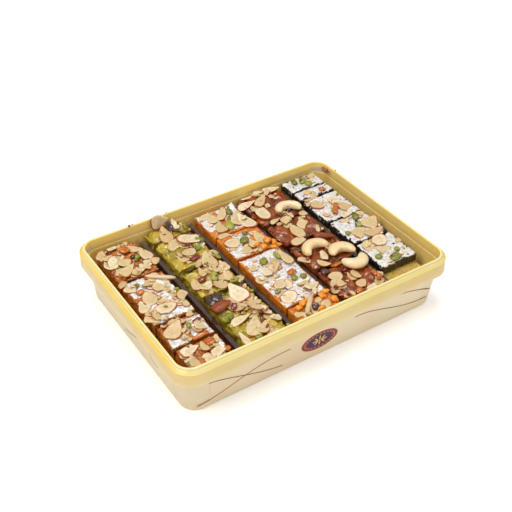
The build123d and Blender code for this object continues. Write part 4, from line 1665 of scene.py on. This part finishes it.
class Panel:
    """The printed face of one side wall; places on it are millimetres across and up."""

    FILM = 0.2  # thickness of the label film
    INK = 0.03  # thickness of one layer of ink

    def __init__(self, side: Side) -> None:
        """Chooses the wall."""
        self.axis, self.sign = side.value

    def at(self, across: float, up: float, layer: float) -> Vector:
        """A place on the face.

        Args:
            across: millimetres to the right of the middle, seen from outside.
            up: height in millimetres.
            layer: how many layers of ink lie below it.

        Returns:
            The place in metres.
        """
        shape = Finish.TUB.value
        half = shape.half_width if self.axis == "y" else shape.half_length
        out = half - (shape.height - up) * shape.draft + self.FILM + self.INK * (layer + 0.3)
        if self.axis == "y":
            return Vector((-across * self.sign, out * self.sign, up)) * MM
        return Vector((out * self.sign, across * self.sign, up)) * MM

    def plate(self, loops: list[list[tuple[float, float]]], layer: int, name: str) -> bpy.types.Object:
        """Closed flat plates of ink.

        Args:
            loops: outlines on the face.
            layer: how many layers of ink lie below.
            name: name of the object.

        Returns:
            One mesh of all plates.
        """
        verts, faces = [], []
        for loop in loops:
            n, first = len(loop), len(verts)
            verts += [self.at(a, u, layer + top) for top in (0, 1) for a, u in loop]
            faces += [tuple(range(first, first + n))[::-1], tuple(range(first + n, first + 2 * n))]
            faces += band(first, first + n, n)
        obj = new_object(name, verts, faces, smooth=False)
        face_outwards(obj.data)
        return obj


def oval(
    middle: tuple[float, float], half: tuple[float, float], turn: float = 0.0, steps: int = 48
) -> list[tuple[float, float]]:
    """Outline of an ellipse.

    Args:
        middle: its middle.
        half: half its width and half its height.
        turn: degrees that it is turned.
        steps: number of its points.

    Returns:
        The points, in the unit of the sizes.
    """
    c, s = math.cos(math.radians(turn)), math.sin(math.radians(turn))
    points = []
    for k in range(steps):
        a = 2 * math.pi * k / steps
        x, y = half[0] * math.cos(a), half[1] * math.sin(a)
        points.append((middle[0] + x * c - y * s, middle[1] + x * s + y * c))
    return points


def stroke(knots: tuple[tuple[float, float], ...], width: float, steps: int = 28) -> list[tuple[float, float]]:
    """Outline of a curved line of even width.

    Args:
        knots: four points of a Bezier curve.
        width: width of the line.
        steps: number of points along it.

    Returns:
        The points, along one side and back along the other.
    """
    t = np.linspace(0, 1, steps)[:, None]
    a, b, c, d = (np.array(k, float) for k in knots)
    line = a * (1 - t) ** 3 + 3 * b * t * (1 - t) ** 2 + 3 * c * t**2 * (1 - t) + d * t**3
    along = np.gradient(line, axis=0)
    side = np.c_[-along[:, 1], along[:, 0]] / np.linalg.norm(along, axis=1)[:, None] * width / 2
    return [tuple(p) for p in np.r_[line + side, (line - side)[::-1]]]


class LabelPrint:
    """A plain printed decoration: fine gold-brown sweeps and an oval medallion with an eight-petal rosette."""

    MIDDLE = (-2.8, 18.4)
    HALF = (17.0, 9.2)
    PETALS, PETAL, PETAL_REACH = 8, (2.4, 0.7), (4.4, 2.6)
    BEADS, BEAD, BEAD_REACH = 24, (0.5, 0.45), (13.9, 7.0)
    LINE = 0.95
    FRONT_SWEEPS = (
        ((-110.0, 7.0), (-86.0, 8.0), (-64.0, 25.0), (-30.0, 23.5)),
        ((-100.0, 27.0), (-84.0, 25.5), (-62.0, 12.0), (-36.0, 9.0)),
        ((30.0, 26.0), (52.0, 27.5), (76.0, 9.0), (106.0, 10.5)),
        ((62.0, 29.0), (78.0, 29.5), (94.0, 25.0), (108.0, 18.5)),
    )
    LEFT_SWEEPS = (
        ((-14.0, 12.0), (-4.0, 12.5), (4.0, 20.0), (16.0, 20.5)),
        ((22.0, 21.0), (28.0, 20.0), (32.0, 15.0), (40.0, 14.5)),
    )

    def build(self) -> None:
        """Prints the front and the left label."""
        front, left = Panel(Side.FRONT), Panel(Side.LEFT)
        x, y = self.MIDDLE
        a, b = self.HALF
        places = oval((x, y), self.PETAL_REACH, 0, self.PETALS)
        petals = [oval(place, self.PETAL, k * 360 / self.PETALS, 20) for k, place in enumerate(places)]
        beads = [oval(place, self.BEAD, 0, 12) for place in oval((x, y), self.BEAD_REACH, 0, self.BEADS)]
        front_sweeps = [stroke(k, self.LINE) for k in self.FRONT_SWEEPS]
        left_sweeps = [stroke(k, self.LINE) for k in self.LEFT_SWEEPS]
        parts = (
            ("front_print_sweeps", front, front_sweeps, 0, Finish.GOLD_LINE),
            ("left_print_sweeps", left, left_sweeps, 0, Finish.GOLD_LINE),
            ("front_medallion_rim", front, [oval((x, y), (a, b))], 0, Finish.GOLD_LINE),
            ("front_medallion_field", front, [oval((x, y), (a - 0.5, b - 0.5))], 1, Finish.MAROON),
            ("front_medallion_oval", front, [oval((x, y), (a - 5.0, b - 3.6))], 2, Finish.INDIGO),
            ("front_medallion_rosette", front, petals + beads, 3, Finish.PALE_GOLD),
        )
        for name, panel, loops, layer, which in parts:
            settle(panel.plate(loops, layer, name), "tub", "label_print", which)


class RimCrumbs:
    """A few crumbs that fell on the rim while the box was filled."""

    # where each lies in millimetres, its length, how it is turned and its look
    PLACES = (
        (-75.5, 86.3, 49.8, 3.4, 60.0, Finish.RIM_CRUMB),
        (-72.4, 86.4, 49.6, 1.8, 120.0, Finish.RIM_CRUMB),
        (117.3, 72.9, 45.6, 6.5, 95.0, Finish.RIM_CRUMB),
        (117.9, 76.8, 45.4, 3.4, 20.0, Finish.WHOLE_ALMOND),
        (118.2, 68.6, 45.4, 3.0, 70.0, Finish.RIM_CRUMB),
        (120.9, 62.0, 49.6, 2.2, 30.0, Finish.RIM_CRUMB),
        (-40.5, 86.7, 49.6, 1.6, 10.0, Finish.RIM_CRUMB),
    )

    def build(self) -> None:
        """Lays the crumbs."""
        for number, (x, y, z, length, turn, which) in enumerate(self.PLACES, 1):
            recipe = Lump(square=0.3, flat=0.5, rough=0.4, height=length * 0.45, rings=5, sides=8)
            obj = recipe.build(f"rim_crumb_{number}", SEED + number)
            spin = Matrix.Rotation(math.radians(turn), 4, "Z")
            size = Matrix.Diagonal((length * MM, length * 0.7 * MM, MM, 1))
            obj.data.transform(Matrix.Translation(Vector((x, y, z)) * MM) @ spin @ size)
            settle(obj, "tub", "almond", which)


class Slabs:
    """The slabs under the cut sweets and the cream layer under the chocolate row."""

    FIRST_SEED = SEED + 90

    def build(self) -> None:
        """Builds the slabs and the cream layer."""
        for i, row in enumerate(ROWS, 1):
            node = f"lower_slab_{i}"
            slab = SweetBlock(node, 1.5 * MM).build(0.6, 0.2, self.FIRST_SEED + i)
            settle(slab, node, row.slot, row.look, node)
        cream = SweetBlock("cream_layer", 1.0 * MM).build(0.9, 0.35, self.FIRST_SEED + 7)
        settle(cream, "cream_layer", "cream_barfi", Finish.CREAM, "cream_layer")


# ---------------------------------------------------------------- stage


@dataclass(frozen=True)
class Lamp:
    """A soft lamp: where it hangs, what it faces, its size and its power."""

    name: str
    place: tuple[float, float, float]
    size: float
    power: float
    colour: str = "#ffffff"


class Studio:
    """Camera, lamps, floor and backdrop."""

    EYE = Vector((-301.546, -453.892, 467.186)) * MM
    AIM = Vector((25.87, 48.41, 0.0)) * MM
    ROLL = math.radians(0.14)
    LENS = 60.18
    MIDDLE = Vector((0, 0, 0.03))  # what the lamps face
    FLOOR_REACH = 3.0
    FLOOR_GLOW = 0.3
    ROOM_LIGHT = 0.4
    BACKDROP_LIGHT = 1.0
    LAMPS = (
        Lamp("key_left", (-0.8, -0.05, 1.1), 0.6, 7.8, "#fffaf2"),
        Lamp("top", (0.1, 0.25, 1.2), 0.6, 7.0),
        Lamp("front_fill", (-0.05, -1.2, 0.6), 1.1, 5.0, "#fff8ee"),
        Lamp("right_fill", (1.1, -0.1, 0.7), 0.9, 1.8),
    )

    def build(self) -> None:
        """Sets everything up."""
        self.camera()
        for lamp in self.LAMPS:
            self.lamp(lamp)
        self.floor()
        self.world()

    def camera(self) -> None:
        """Places the camera where the photograph was taken from."""
        data = bpy.data.cameras.new("camera")
        data.lens = self.LENS
        data.sensor_width = 36.0
        data.clip_start = 0.01
        obj = linked("camera", data)
        back = (self.EYE - self.AIM).normalized()
        right = Vector((0, 0, 1)).cross(back).normalized()
        up = back.cross(right)
        turned_right = right * math.cos(self.ROLL) + up * math.sin(self.ROLL)
        turned_up = up * math.cos(self.ROLL) - right * math.sin(self.ROLL)
        attitude = Matrix((turned_right, turned_up, back)).transposed()
        obj.matrix_world = Matrix.Translation(self.EYE) @ attitude.to_4x4()
        bpy.context.scene.camera = obj

    def lamp(self, lamp: Lamp) -> None:
        """Hangs one lamp facing the box.

        Args:
            lamp: its place, size, power and colour.
        """
        data = bpy.data.lights.new(lamp.name, "AREA")
        data.size = lamp.size
        data.energy = lamp.power
        data.color = linear(lamp.colour)[:3]
        obj = linked(lamp.name, data)
        obj.location = lamp.place
        obj.rotation_euler = (Vector(lamp.place) - self.MIDDLE).to_track_quat("Z", "Y").to_euler()

    def floor(self) -> None:
        """Lays a pale floor."""
        sides = ((-1, -1), (1, -1), (1, 1), (-1, 1))
        corners = [(x * self.FLOOR_REACH, y * self.FLOOR_REACH, 0) for x, y in sides]
        obj = new_object("floor", corners, [(0, 1, 2, 3)])
        s = Shader("pale_studio_floor")
        seen = s.times(s.add("ShaderNodeLightPath").outputs["Is Camera Ray"], self.FLOOR_GLOW)
        s.set(Base_Color="#f4f3f1", Roughness=0.7, Specular_IOR_Level=0.2, Emission_Strength=seen)
        obj.data.materials.append(s.material)

    def world(self) -> None:
        """Lights the room evenly; the camera sees a near-white backdrop."""
        world = bpy.data.worlds.new("studio")
        world.use_nodes = True
        tree = world.node_tree
        background = tree.nodes["Background"]
        path = tree.nodes.new("ShaderNodeLightPath")
        level = tree.nodes.new("ShaderNodeMapRange")
        level.inputs["To Min"].default_value = self.ROOM_LIGHT
        level.inputs["To Max"].default_value = self.BACKDROP_LIGHT
        tree.links.new(path.outputs["Is Camera Ray"], level.inputs["Value"])
        tree.links.new(level.outputs["Result"], background.inputs["Strength"])
        background.inputs["Color"].default_value = linear("#ffffff")
        bpy.context.scene.world = world


def main() -> None:
    """Dresses the whole box."""
    logging.basicConfig(level=logging.INFO, format="%(name)s %(message)s")
    scene = bpy.context.scene
    scene.view_settings.view_transform = "Standard"
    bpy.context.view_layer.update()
    Tub().build()
    LabelPrint().build()
    RimCrumbs().build()
    Slabs().build()
    larder = Larder()
    strewer = Strewer(larder, laying_tree())
    crumbs = crumb_tree()
    for number, row in enumerate(ROWS):
        SweetRow(row, strewer, crumbs).build(SEED + 100 * (number + 1))
    Studio().build()
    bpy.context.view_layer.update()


if __name__ == "__main__":
    main()
